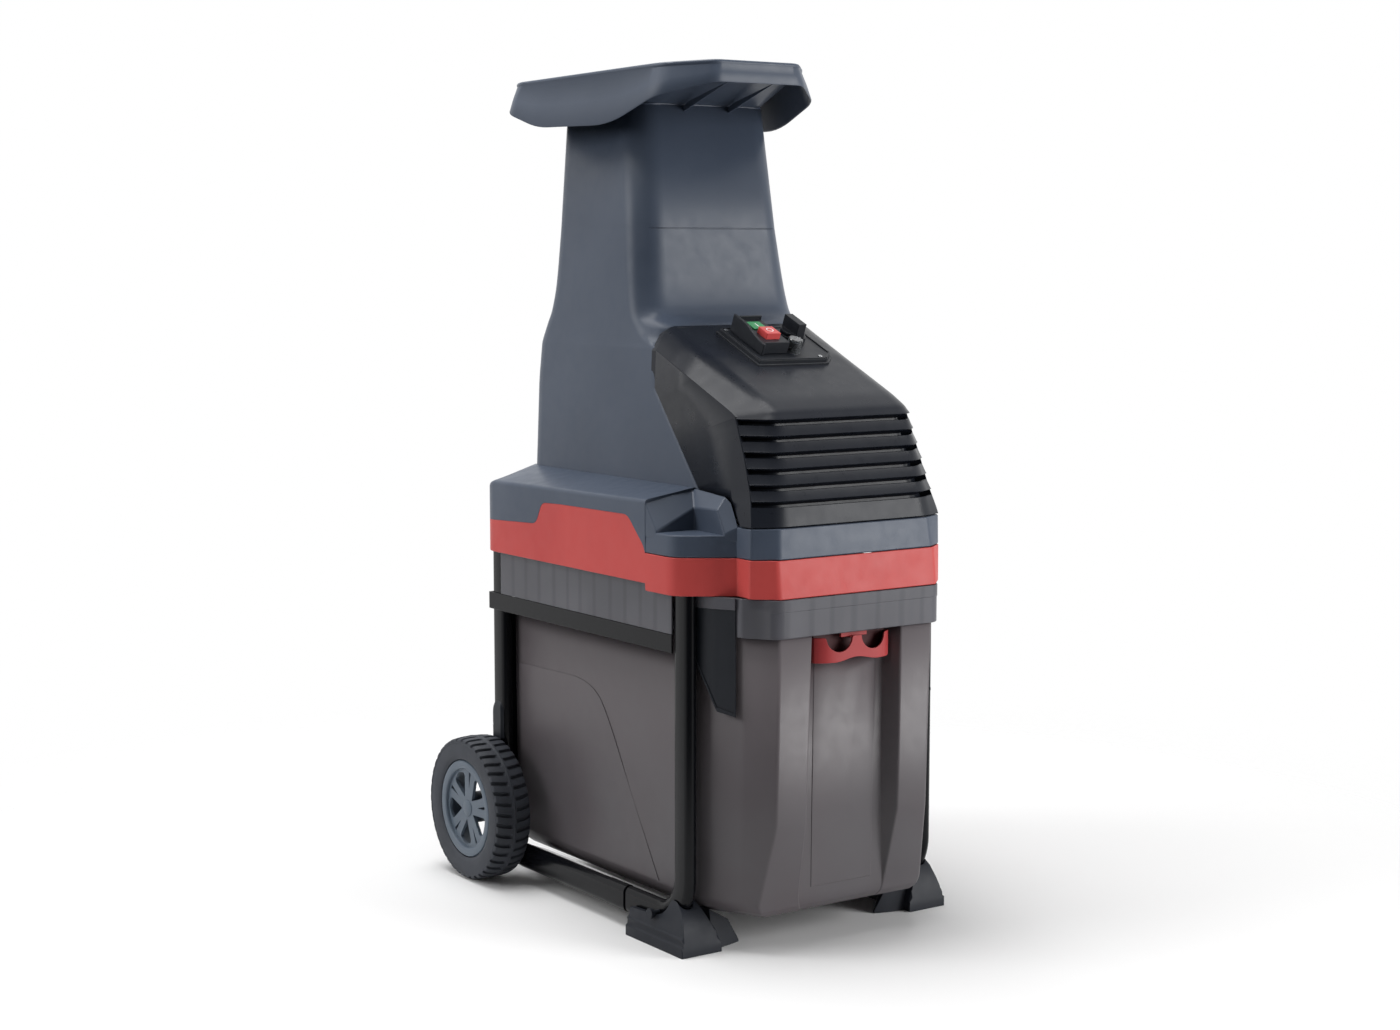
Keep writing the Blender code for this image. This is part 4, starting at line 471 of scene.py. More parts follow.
def rearCorner(steps=8):
    # plan of the body's right rear corner, from its side to its back
    r = skirt["cornerRadius"]
    x, depth = skirt["halfWidth"] - r, skirt["rear"] - r
    turns = [math.pi / 2 * k / steps for k in range(steps + 1)]
    return [(x + r * math.cos(turn), depth + r * math.sin(turn)) for turn in turns]


def buildSkirt():
    start, rear, top = skirt["start"], skirt["rear"], skirt["topHeight"]
    side = [(skirt["halfWidth"], depth) for depth in sideDepths]
    tuckStart, tuckReach, tuck = skirt["tuck"]
    low, crest, upper = [], [], []
    for x, depth in [*side, *rearCorner(), (skirt["rearPoint"], rear), (0, rear)]:
        fall = sum(most * shareOf(depth, near, reach) for near, reach, most in skirt["falls"])
        low.append((x, depth, partingHeight(depth) + skirt["gap"]))
        crest.append((x, depth, skirt["edgeHeight"] + skirt["rise"] - fall))
        inward = min(x, skirt["topHalf"] - tuck * shareOf(depth, tuckStart, tuckReach))
        upper.append((inward, min(depth, skirt["topRear"]), top))
    wallTop = (skirt["topHalf"], start, top)               # the front wall's inner edge, beside the tower
    low.insert(0, (*wallTop[:2], low[0][2]))
    crest.insert(0, wallTop)
    upper.insert(0, wallTop)
    share, innerRear, z = skirt["innerShare"], skirt["innerRear"], top - skirt["innerDrop"]
    inner = [(x * share, min(depth, innerRear), z) for x, depth, _ in upper]
    rows = easeRows([low, crest, upper, inner], skirt["setbacks"], 4)
    rows = [[*row, *[(-x, depth, z) for x, depth, z in reversed(row[:-1])]] for row in rows]
    loftPiece("housing_ledge", rows, housingPlastic, around=False, lids=False, wall=skirt["wall"], sharp=50,
              bevel=skirt["edge"])


# red ring: its side panel steps up, and at the front it turns in beside the band
ring = {
    "front": ((0.0, 0.0), (0.108, 0.0), (0.1315, 0.0235), (0.1295, 0.0482), (0.1865, 0.0885),
              (0.187, 0.1412)),
    "setbacks": (0, 0.004, 0.003, 0.002, 0.0135, 0), "lean": 0.122, "wall": 0.003, "sideStart": 0.1422,
}


def buildRing():
    front = ease(ring["front"], ring["setbacks"], 7, closed=False)
    side = [(skirt["halfWidth"], max(depth, ring["sideStart"])) for depth in sideDepths]
    plan = front + side + rearCorner() + [(0.0, skirt["rear"])]
    bottom, cornerDepth = skirt["bottom"], ring["front"][2][1]
    rows = []
    for upper in (False, True):
        half = []
        for x, depth in plan:
            low = bottom + (skirt["sideRise"] if depth > skirt["start"] else 0)
            z = partingHeight(depth) - skirt["gap"] if upper else low
            lean = ring["lean"] * (z - bottom) * max(1 - depth / cornerDepth, 0)
            half.append((x, depth + lean, z))
        rows.append(mirrored(half))
    loftPiece("red_base_ring", rows, redPlastic, lids=False, wall=ring["wall"], bevel=0.0012, sharp=30,
              stands=("base_ring",))


# ears beside the motor cover: a low shelf with a raised block, and between them a three-cornered hand pocket
ear = {
    "plan": ((0.1868, 0.1435), (0.1863, 0.0885), (0.1285, 0.0478), (0.105, 0.0478), (0.105, 0.1435)),
    "shelf": ((0.4389, 0.0), (0.446, 0.0002), (0.4628, 0.0008)), "setbacks": (0, 0.0135, 0, 0, 0),
    "edge": 0.0018,
    # the block's corners: how far out, depth and height
    "corners": (
        (0.1867, 0.1388, 0.4668), (0.1858, 0.1215, 0.4642), (0.136, 0.1208, 0.4876), (0.1416, 0.0697, 0.4898),
        (0.1405, 0.0575, 0.464), (0.1285, 0.0472, 0.4715), (0.131, 0.0592, 0.4988), (0.125, 0.0775, 0.503),
        (0.1225, 0.1435, 0.507), (0.1866, 0.1435, 0.495), (0.1867, 0.1388, 0.456), (0.1858, 0.1215, 0.456),
        (0.136, 0.1208, 0.456), (0.1405, 0.0575, 0.456), (0.1285, 0.0478, 0.456), (0.1225, 0.1435, 0.456),
        (0.1866, 0.1435, 0.456),
    ),
    "faces": ((0, 1, 9), (1, 2, 8, 9), (2, 3, 7, 8), (11, 12, 2, 1), (12, 13, 4, 3, 2), (4, 5, 6, 7, 3),
              (13, 14, 5, 4), (10, 11, 1, 0), (14, 15, 8, 7, 6, 5), (15, 16, 9, 8), (16, 10, 0, 9),
              (10, 16, 15, 14, 13, 12, 11)),
}


def buildEar(side, name):
    rows = []
    for z, inwards in ear["shelf"]:
        plan = [(x - inwards, depth + inwards) for x, depth in ear["plan"]]
        line = [(x, depth, z) for x, depth in ease(plan, ear["setbacks"], 7)]
        rows.append(onSide(side, line[::-1]))
    shelf = loftPiece(name + "_ear_shelf", rows, housingPlastic, sharp=30)
    roundEdges(shelf, ear["edge"], 3, 40)
    points = [at(side * x, depth, z) for x, depth, z in ear["corners"]]
    faces = [face if side < 0 else face[::-1] for face in ear["faces"]]
    block = makePiece(name + "_ear_block", points, faces, housingPlastic, sharp=20)
    roundEdges(block, ear["edge"], 3, 12)


# the grey band under the motor cover, leaning with the front
band = {
    "heights": (0.4389, 0.4722), "lean": 0.122, "taper": 0.073, "edge": 0.0016,
    # right half of its outline: the front's half-width, the corner, and the points behind it
    "half": 0.108, "corner": (0.1315, 0.0232), "cornerTaper": 1 / 6,
    "behind": ((0.13, 0.052), (0.095, 0.09), (0, 0.09)), "setbacks": (0, 0.004, 0.003, 0, 0, 0),
}


def buildBand():
    rows = []
    for z in band["heights"]:
        rise = z - skirt["bottom"]
        front, taper = band["lean"] * rise, band["taper"] * rise
        x, depth = band["corner"]
        x -= taper * band["cornerTaper"]
        half = [(0, front), (band["half"] - taper, front), (x, depth), *band["behind"]]
        rows.append(easedRing([(x, depth, z) for x, depth in half], band["setbacks"], 4))
    loftPiece("front_band", rows, housingPlastic, bevel=band["edge"])


buildTower()
buildSkirt()
buildRing()
for side, name in sides:
    buildEar(side, name)
buildBand()
print("housing built")


# motor cover: stations from the rear top edge down its slope and front to the bottom edge
cover = {
    # front depth and height, front half-width, side edge, rear edge, softness of the bend there
    "rows": (
        (0.2315, 0.682, 0.097, (0.12, 0.2205, 0.656), (0.1198, 0.2209, 0.6525), 0),
        (0.15, 0.647, 0.0943, (0.1195, 0.15, 0.6257), (0.118, 0.2265, 0.613), 0),
        (0.06, 0.6083, 0.0917, (0.1191, 0.096, 0.6027), (0.1187, 0.21, 0.594), 0.01),
        (0.047, 0.601, 0.092, (0.119, 0.083, 0.5972), (0.119, 0.2, 0.5825), 0.006),
        (0.038, 0.5955, 0.0925, (0.119, 0.074, 0.5932), (0.1195, 0.19, 0.571), 0.005),
        (0.0335, 0.59, 0.093, (0.119, 0.0665, 0.5889), (0.1198, 0.18, 0.5595), 0.004),
    ),
    # below the slope, by height: front half-width and depth, side edge, rear edge
    "frontEdge": ((0.59, 0.093, 0.0335), (0.5058, 0.0987, 0.0152), (0.4732, 0.101, 0.0089)),
    "sideEdge": ((0.59, 0.1188, 0.07), (0.5831, 0.119, 0.0665), (0.5435, 0.1208, 0.0484),
                 (0.5054, 0.1236, 0.0335), (0.4756, 0.1298, 0.0234), (0.4732, 0.13, 0.0232)),
    # behind the side edge a narrow facet faces sideways, and the deep side face starts behind it
    "stripEdge": ((0.59, 0.1191, 0.07), (0.5831, 0.1192, 0.069), (0.5666, 0.12, 0.0684),
                  (0.5171, 0.1232, 0.0683), (0.5058, 0.1242, 0.068), (0.4732, 0.1308, 0.0408)),
    "rearEdge": ((0.59, 0.1198, 0.18, 0.5595), (0.511, 0.1222, 0.1335, 0.5076),
                 (0.5058, 0.1242, 0.0725, 0.5058), (0.4732, 0.1308, 0.0419, 0.4732)),
    "shoulder": 0.013, "wall": 0.0025, "stripShare": 0.02,
    # the last rows above the bottom edge, each with how far it is pushed out
    "foot": ((0.48, 0), (0.474, 0), (0.4732, -0.0006)),
    # the flange's step inwards, thickness, and its reach ahead of and behind the edge
    "flange": (0.0026, 0.0016, 0.004, 0.012), "flangeLow": 0.515, "flangeStep": 0.003, "flangeTurn": 0.06,
    # the sill inside the side's bottom edge: its ends, how far above and below the edge it reaches
    "sill": ((0.1242, 0.069, 0.5058), (0.1222, 0.14, 0.5076)), "sillHigh": 0.006, "sillLow": 0.012,
}
louvre = {
    "count": 6, "lowest": 0.4975, "pitch": 0.0172, "height": 0.0062, "depth": 0.012, "drop": 0.005,
    "ribOut": 0.0022, "round": 0.0009, "endShares": (0.92, 0.95), "step": 0.0001,
}


def coverFrontAt(z):
    # front, side, strip and rear points of the cover's louvred front at a height
    z, half, front = between(cover["frontEdge"], z)
    z, x, depth = between(cover["sideEdge"], z)
    z, stripX, stripDepth = between(cover["stripEdge"], z)
    return (front, z, half), (x, depth, z), (stripX, stripDepth, z), between(cover["rearEdge"], z)[1:]


def coverRing(front, side, strip, rear, push=0.0, drop=0.0):
    # half a station, from the middle to the rear edge; push moves the louvred part along its outward side
    depth, z, half = front
    corner = ease([(0, depth, z), (half, depth, z), tuple(side)], (0, cover["shoulder"], 0), 6, closed=False)
    facet = Vector(side) - Vector(corner[-2])
    ends = [tuple(Vector(corner[-2]) + facet * share) for share in louvre["endShares"]]
    half = [*corner[:-1], *ends, corner[-1], tuple(strip), tuple(rear)]
    if not push:
        return half
    pushed = []
    for i, point in enumerate(half[:-4]):
        before, after = half[max(i - 1, 0)], half[i + 1]
        along = Vector((after[0] - before[0], after[1] - before[1]))
        out = Vector((along.y, -along.x)).normalized() if i else Vector((0, -1))
        pushed.append((point[0] + out.x * push, point[1] + out.y * push, point[2] - drop))
    return pushed + half[-4:]


def coverRows():
    rings = []
    for *front, side, rear, _ in cover["rows"]:
        strip = Vector(side).lerp(Vector(rear), cover["stripShare"])
        rings.append(coverRing(front, side, strip, rear))
    rings = easeRows(rings, [row[-1] for row in cover["rows"]], 4)
    fine, out, deep, drop = louvre["round"], louvre["ribOut"], -louvre["depth"], louvre["drop"]
    for k in reversed(range(louvre["count"])):
        middle = louvre["lowest"] + k * louvre["pitch"]
        top, low = middle + louvre["height"] / 2, middle - louvre["height"] / 2
        # a rounded rib over the slot, the slot's back, and its lower edge: height, push and drop
        profile = ((top + fine * 1.6, out * 0.75, 0), (top + fine * 0.4, out, 0), (top, out - fine * 0.6, 0),
                   (top - louvre["step"], deep, drop), (low + louvre["step"], deep, drop), (low, -fine, 0),
                   (low - fine * 0.5, 0, 0))
        rings += [coverRing(*coverFrontAt(z), push, fall) for z, push, fall in profile]
    rings += [coverRing(*coverFrontAt(z), push) for z, push in cover["foot"]]
    return [openMirror(ring) for ring in reversed(rings)]


def buildCover():
    rows = coverRows()
    loftPiece("louvred_motor_cover", rows, coverPlastic, around=False, lids=False, wall=cover["wall"],
              even=False, sharp=24, stands=("front_cover",))
    # a flange inside the rear edge, which reaches in under the tower's ridge
    edge = [point for point in rows[-1] if point[0] >= 0]
    for row in reversed(rows[:-1]):
        if row[-1][2] > cover["flangeLow"] and edge[-1][2] - row[-1][2] > cover["flangeStep"]:
            edge.append(row[-1])
    inset, thick, ahead, behind = cover["flange"]
    sections = []
    for x, depth, z in openMirror(edge):
        inward = Vector((-x, 0, -cover["flangeTurn"])).normalized()
        nearX, _, nearZ = Vector((x, 0, z)) + inward * inset
        farX, _, farZ = Vector((x, 0, z)) + inward * (inset + thick)
        sections.append([(nearX, depth - ahead, nearZ), (farX, depth - ahead, farZ),
                         (farX, depth + behind, farZ), (nearX, depth + behind, nearZ)])
    loftPiece("cover_rear_flange", sections, coverPlastic)
    for side, name in sides:
        sections = []
        for x, depth, z in cover["sill"]:
            near, far = side * (x - inset), side * (x - inset - thick)
            corners = rectangle(far, near, z - cover["sillLow"], z + cover["sillHigh"])
            sections.append([(across, depth, height) for across, height in corners])
        loftPiece(name + "_cover_sill", sections, coverPlastic)


# hopper: a thin beaded rim, a flared wall and a hollow underside
hopper = {
    "rim": ((0, 0.1925, 0.98), (0.058, 0.1925, 0.98), (0.1, 0.2405, 0.9776), (0.1109, 0.32, 0.975),
            (0.1288, 0.452, 0.9705), (0.1345, 0.495, 0.9692), (0.1275, 0.515, 0.9685), (0, 0.515, 0.9685)),
    "lip": ((0, 0.1875, 0.955), (0.061, 0.1875, 0.955), (0.112, 0.2355, 0.94), (0.122, 0.3165, 0.911),
            (0.138, 0.4495, 0.913), (0.1445, 0.501, 0.93), (0.1365, 0.5175, 0.9355), (0, 0.5175, 0.9355)),
    # half outline of the neck, which stands inside the tower's top
    "neck": ((0, 0.2989, 0), (0.075, 0.2989, 0), (0.0934, 0.318, 0), (0.0934, 0.348, 0),
             (0.0934, 0.4452, 0), (0.0886, 0.453, 0), (0.081, 0.4578, 0), (0, 0.4578, 0)),
    "softness": (0, 0.01, 0.016, 0.03, 0.02, 0.009, 0.009, 0),
    # profiles over the lip's and the rim's edge: distance inwards and drop
    "lipEdge": ((0.0025, -0.001), (0.0015, 0), (0.0004, 0.0004), (0, -0.0008)),
    "rimEdge": ((-0.0002, 0.005), (-0.00063, 0.004), (-0.0007, 0.0018), (0.0004, 0.0004), (0.0016, 0),
                (0.0048, 0), (0.006, 0.0008)),
    "wall": 0.0025, "under": (0.0035, 0.0055), "waist": 0.55, "neckTop": 0.9353, "neckBottom": 0.895,
    "neckRise": 0.003,
}


def insetRing(ring, distance, drop=0.0):
    # moves a closed ring of points inwards in plan by a distance
    moved = []
    for i, (x, depth, z) in enumerate(ring):
        before, after = ring[i - 1], ring[(i + 1) % len(ring)]
        a = Vector((x - before[0], depth - before[1]))
        b = Vector((after[0] - x, after[1] - depth))
        a, b = (a if a.length > 1e-7 else b), (b if b.length > 1e-7 else a)
        a.normalize()
        b.normalize()
        inward = Vector((-a.y - b.y, a.x + b.x))
        inward = inward / max(0.5, inward.length_squared / 2)
        moved.append((x + inward.x * distance, depth + inward.y * distance, z - drop))
    return moved


def buildHopper():
    rim, lip, neck = [easedRing(hopper[part], hopper["softness"], 5) for part in ("rim", "lip", "neck")]
    wall, share = hopper["wall"], hopper["waist"]
    neckTop = [(x, depth, hopper["neckTop"]) for x, depth, _ in neck]
    neckLow = [(x, depth, hopper["neckBottom"]) for x, depth, _ in neck]
    waist = [tuple(Vector(a) * (1 - share) + Vector(b) * share) for a, b in zip(rim, lip)]
    rows = [insetRing(neckLow, wall), neckLow, neckTop, insetRing(rim, *hopper["under"])]
    rows += [insetRing(lip, *edge) for edge in hopper["lipEdge"]]
    rows += [waist, *[insetRing(rim, *edge) for edge in hopper["rimEdge"]]]
    rows += [insetRing(neckTop, wall, -hopper["neckRise"]), rows[0]]
    loftPiece("feed_hopper", rows, housingPlastic, lids=False, closed=True, stands=("hopper",), sharp=40)


buildCover()
buildHopper()
print("cover and hopper built")


# collection box, blown in one: two front columns beside a window, a folded foot and a swelling on each side
smokeBox = {
    # height, groove depth and half-width, column inner edge, depth and outer edge, corner half-width and
    # depth, half-width, side start, rear
    "rows": (
        (0.3955, 0.0256, 0.052, 0.0616, 0.003, 0.105, 0.1275, 0.0345, 0.154, 0.09, 0.4865),
        (0.1455, 0.0295, 0.055, 0.064, 0.01, 0.105, 0.127, 0.0425, 0.153, 0.094, 0.485),
        (0.056, 0.0305, 0.059, 0.06, 0.0295, 0.114, 0.125, 0.046, 0.1505, 0.096, 0.4825),
        (0.048, 0.0315, 0.057, 0.058, 0.0305, 0.111, 0.121, 0.0495, 0.1465, 0.098, 0.478),
        (0.042, 0.036, 0.053, 0.054, 0.035, 0.105, 0.114, 0.056, 0.1395, 0.104, 0.4705),
    ),
    # the rings that are drawn: height, how far the window stands out, softness of the bend there
    "levels": ((0.042, 0, 0), (0.048, 0, 0.003), (0.056, 0, 0.004), (0.0674, 0, 0), (0.068, 0.0007, 0),
               (0.1455, 0.0007, 0.006), (0.3955, 0.0007, 0)),
    "window": 0.042, "windowEdge": 0.0006, "wall": 0.0025,
    "setbacks": (0, 0, 0, 0.0012, 0.0022, 0.003, 0.004, 0.022, 0.004, 0),
    # the side swelling's upper front edge, as depth and height, and how far it reaches in and out of the side
    "swelling": ((0.47, 0.266), (0.331, 0.269), (0.292, 0.257), (0.266, 0.223), (0.17, 0.06)),
    "swellingSoft": (0, 0.02, 0.03, 0.03, 0), "swellingIn": 0.0012, "swellingOut": 0.0009,
    "swellingRear": 0.474, "swellingEnd": 0.472, "swellingTop": 0.266,
}


def boxRing(z, rise):
    z, groove, grooveHalf, inner, column, outer, *corner, half, start, rear = between(smokeBox["rows"], z)
    window = smokeBox["window"]
    points = [(0, groove - rise), (window, groove - rise), (window + smokeBox["windowEdge"], groove),
              (grooveHalf, groove), (inner, column), (outer, column), corner,
              (half, start), (half, rear), (0, rear)]
    return easedRing([(x, depth, z) for x, depth in points], smokeBox["setbacks"], 4)


def buildBox():
    rings = [boxRing(z, rise) for z, rise, _ in smokeBox["levels"]]
    rings = easeRows(rings, [soft for _, _, soft in smokeBox["levels"]], 3)
    loftPiece("smoked_collection_box", rings, smokePlastic, body="box", lids="bottom", wall=smokeBox["wall"],
              stands=("collection_box",), sharp=28)


def buildSwelling(side, name):
    line = ease(smokeBox["swelling"], smokeBox["swellingSoft"], 5, closed=False)
    rear, end, top = smokeBox["swellingRear"], smokeBox["swellingEnd"], smokeBox["swellingTop"]
    rows = []
    for depth, z in reversed(line):
        half = between(smokeBox["rows"], z)[8]
        inner, outer = half - smokeBox["swellingIn"], half + smokeBox["swellingOut"]
        slope, back = min(depth, end), min(z, top)
        ring = [(inner, slope, z), (outer, slope, z), (outer, rear, back), (inner, rear, back)]
        rows.append(onSide(side, ring))
    loftPiece(name + "_box_swelling", rows, smokePlastic, body="box", bevel=0.0006, sharp=30)


# rim: a smoky band round the box's mouth with a lip over the shoulder plates
rim = {
    "plan": ((0.0, 0.0), (0.111, 0.0), (0.134, 0.035), (0.1347, 0.0423), (0.1563, 0.083), (0.1563, 0.4883),
             (0.0, 0.4883)),
    "setbacks": (0, 0.01, 0.003, 0.002, 0.006, 0.006, 0),
    # heights up the band, each with how far it stands out; the front's ends go a share of it sideways
    "profile": ((0.354, -0.0008), (0.3549, 0), (0.3829, 0), (0.3835, 0.0006), (0.3959, 0.0006), (0.3965, 0)),
    "sideShare": 0.6, "wall": 0.0023,
}


def rimRing(z, out):
    middle, edge, *others = rim["plan"]
    points = [(middle[0], -out), (edge[0] + out * rim["sideShare"], -out), *others]
    return easedRing([(x, depth, z) for x, depth in points], rim["setbacks"], 5)


def buildRim():
    rows = [rimRing(z, out) for z, out in rim["profile"]]
    loftPiece("smoky_box_rim", rows, rimSmoke, body="box", lids=False, wall=rim["wall"], stands=("box_rim",))


# shoulder plates: gussets under the rim, each with a folded border along its free edges
shoulder = {
    # plan line of a plate, the height of its lower edge there and the border's width
    "line": ((0.1365, 0.042, 0.267, 0.0034), (0.1475, 0.061, 0.2715, 0.00442),
             (0.1563, 0.079, 0.3112, 0.0051), (0.1568, 0.0975, 0.335, 0.0051)),
    "top": 0.3955, "thickness": 0.0018, "overlap": 0.0002, "borderRise": 0.0012,
    "lipBottom": 0.3835, "lipTop": 0.3965, "lipRise": 0.0016,
}


def buildShoulder(side, name):
    line, overlap = shoulder["line"], shoulder["overlap"]

    def plate(part, inner, outer, heights, material, stands=()):
        # a plate between two distances from the line, with its lower and upper height at each of its corners
        rows = []
        for i, (x, depth, _, _) in enumerate(line):
            before, after = line[max(i - 1, 0)], line[min(i + 1, len(line) - 1)]
            out = Vector((after[1] - before[1], before[0] - after[0])).normalized()
            near, far = [(side * (x + out.x * d), depth + out.y * d) for d in (inner, outer)]
            low, high = heights[i]
            rows.append([(*near, low), (*far, low), (*far, high), (*near, high)])
        loftPiece(name + part, rows, material, body="box", bevel=0.0005, stands=stands)

    heights = [(low, shoulder["top"]) for _, _, low, _ in line]
    plate("_box_gusset", -shoulder["thickness"], 0.0, heights, blackPlastic, (name + "_box_shoulder",))
    heights = [(low, low + width) for _, _, low, width in line]
    plate("_gusset_border", -overlap, shoulder["borderRise"], heights, blackPlastic)
    heights = [(shoulder["lipBottom"], shoulder["lipTop"])] * len(line)
    plate("_gusset_lip", -overlap, shoulder["lipRise"], heights, rimSmoke)


# latch: a red moulded pull with two finger scoops over a hollow, whose dark back is painted shade
latch = {
    "half": 0.0518, "front": 0.004, "sweep": 0.0105, "wall": 0.0026, "back": 0.0215, "top": 0.349,
    "scoopAt": 0.0232, "scoop": 0.0172, "scoopHigh": 0.0006, "bottom": 0.3212, "rise": 0.0042,
    "riseHalf": 0.03, "steps": 72,
    # the tray and the cheeks start inside the pull's wall
    "inside": 0.0022, "tray": 0.0024, "cheek": 0.0022, "cheekHeights": (0.3224, 0.3486),
    # inner bars: left, right, front, back, bottom and top
    "backBar": (-0.0498, 0.0498, 0.0185, 0.0215, 0.3267, 0.351),
    "postBar": (-0.0046, 0.0046, 0.011, 0.016, 0.3455, 0.356),
    "tongueBar": (-0.018, 0.018, 0.01, 0.0132, 0.3475, 0.3955),
}


def latchFront(x):
    share = abs(x) / latch["half"]
    return latch["front"] + latch["sweep"] * share ** 5


def latchLow(x):
    share = min(abs(x) / latch["riseHalf"], 1.0)
    return latch["bottom"] + latch["rise"] * (0.5 + 0.5 * math.cos(math.pi * share))


def latchTop(x):
    # the scoops bite down from the top edge
    reach = abs(abs(x) - latch["scoopAt"])
    if reach >= latch["scoop"]:
        return latch["top"]
    bite = math.sqrt(latch["scoop"] ** 2 - reach ** 2)
    return min(latch["top"], latch["top"] + latch["scoopHigh"] - bite)


def latchSection(x, front, back, high):
    low = latchLow(x)
    return [(x, front, low), (x, front, high), (x, back, high), (x, back, low)]


def buildLatch():
    half, back, inside = latch["half"], latch["back"], latch["inside"]
    xs = [-half + 2 * half * k / latch["steps"] for k in range(latch["steps"] + 1)]
    pull = [latchSection(x, latchFront(x), latchFront(x) + latch["wall"], latchTop(x)) for x in xs]
    loftPiece("latch_pull", pull, latchPlastic, body="latch", bevel=0.0005, stands=("box_latch",), sharp=40)
    tray = [latchSection(x, latchFront(x) + inside, back, latchLow(x) + latch["tray"]) for x in xs[::4]]
    loftPiece("latch_tray", tray, latchPlastic, body="latch", sharp=40)
    for name, left, right in (("left", -half, latch["cheek"] - half), ("right", half - latch["cheek"], half)):
        outline = [*[(x, latchFront(x) + inside) for x in (left, right)], (right, back), (left, back)]
        barPiece(name + "_latch_cheek", outline, latch["cheekHeights"], latchPlastic, body="latch",
                 bevel=0.0005)
    # the back bar carries the painted shade of the hollow behind the scoops
    for part, material, bevel in (("back", latchShade, 0.0004), ("post", latchPlastic, 0.0006),
                                  ("tongue", latchPlastic, 0.0006)):
        *outline, low, high = latch[part + "Bar"]
        barPiece("latch_" + part, rectangle(*outline), (low, high), material, body="latch", bevel=bevel)


buildBox()
buildRim()
for side, name in sides:
    buildSwelling(side, name)
    buildShoulder(side, name)
buildLatch()
print("collection box built")


# frame of flat-oval tube: an upright and a run on each side, joined by a sleeve in the run
tubeFrame = {
    "x": 0.166, "halfWidth": 0.0075, "halfDepth": 0.015, "bend": 0.05, "frontUpright": 0.0945,
    "rearUpright": 0.492, "run": 0.033, "top": 0.4047, "slit": (0.205, 0.2082), "sleeveEnd": 0.248,
    "sleeve": 0.0009, "sleeveEdge": 0.0008,
    # the connector inside the sleeve is thinner than the tube, and both reach past the slit
    "connector": -0.0014, "overlap": 0.004,
    # a half-round rubber stop on the rear tube above the wheel: share of its height, share of its width
    "stop": ((0, 1.0), (0.25, 0.98), (0.5, 0.9), (0.75, 0.74), (0.92, 0.48), (1.0, 0.16)),
    "stopAt": 0.202, "stopHigh": 0.016, "stopLow": 0.03, "stopHalf": 0.0125, "stopInner": 0.0066,
    "stopThick": 0.0034, "stopEdge": 0.0004, "stopFace": 0.75,
}


def ovalSection(grow=0.0, steps=10):
    half, reach = tubeFrame["halfWidth"] + grow, tubeFrame["halfDepth"] - tubeFrame["halfWidth"]
    points = []
    for start, shift in ((0, reach), (math.pi, -reach)):
        for k in range(steps + 1):
            turn = start + math.pi * k / steps
            points.append((half * math.cos(turn), shift + half * math.sin(turn)))
    return points


def sweepTube(name, path, side, grow=0.0, **rest):
    # the oval section carried along a path of depth and height at one side of the machine
    rings, x = [], tubeFrame["x"]
    for i, (depth, z) in enumerate(path):
        before, after = path[max(i - 1, 0)], path[min(i + 1, len(path) - 1)]
        along = Vector((after[0] - before[0], after[1] - before[1])).normalized()
        out = Vector((-along.y, along.x))
        rings.append([(side * (x + u), depth + out.x * v, z + out.y * v) for u, v in ovalSection(grow)])
    return loftPiece(name, rings, tubeCoat, sharp=50, **rest)


def tubePath(section):
    r, run, top = tubeFrame["bend"], tubeFrame["run"], tubeFrame["top"]
    turns = [math.pi / 2 * k / 14 for k in range(15)]
    if section == "front":
        depth = tubeFrame["frontUpright"]
        bend = [(depth + r - r * math.cos(turn), run + r - r * math.sin(turn)) for turn in turns]
        return [(depth, top), *bend, (tubeFrame["slit"][0], run)]
    depth = tubeFrame["rearUpright"]
    bend = [(depth - r + r * math.sin(turn), run + r - r * math.cos(turn)) for turn in turns]
    return [(tubeFrame["sleeveEnd"] - tubeFrame["overlap"], run), *bend, (depth, top)]


def buildTubes(side, name):
    run, (slit, slitEnd), end = tubeFrame["run"], tubeFrame["slit"], tubeFrame["sleeveEnd"]
    overlap, edge = tubeFrame["overlap"], tubeFrame["sleeveEdge"]
    for section in ("front", "rear"):
        stands = (name + "_frame_" + section,)
        sweepTube(name + "_" + section + "_tube", tubePath(section), side, stands=stands)
    path = [(slit - overlap, run), (slitEnd + overlap, run)]
    sweepTube(name + "_tube_connector", path, side, tubeFrame["connector"])
    path = [(depth, run) for depth in (slitEnd, slitEnd + edge, end - edge, end)]
    sweepTube(name + "_tube_sleeve", path, side, tubeFrame["sleeve"], bevel=0.0005)


def buildTubeStop(side, name):
    rear, inner = tubeFrame["rearUpright"], tubeFrame["x"] + tubeFrame["stopInner"]
    rows = []
    for rise, share in tubeFrame["stop"]:
        z = tubeFrame["stopAt"] + tubeFrame["stopHigh"] * rise
        outer = inner + tubeFrame["stopThick"] * share + tubeFrame["stopEdge"]
        half = tubeFrame["stopHalf"] * share
        face = half * tubeFrame["stopFace"]
        ring = [(inner, rear - half), (outer, rear - face), (outer, rear + face), (inner, rear + half)]
        rows.append([(side * x, depth, z) for x, depth in ring])
    base = [(x, depth, z - tubeFrame["stopLow"]) for x, depth, z in rows[0]]
    loftPiece(name + "_tube_stop", [base, *rows], blackPlastic, bevel=0.0008, sharp=40)


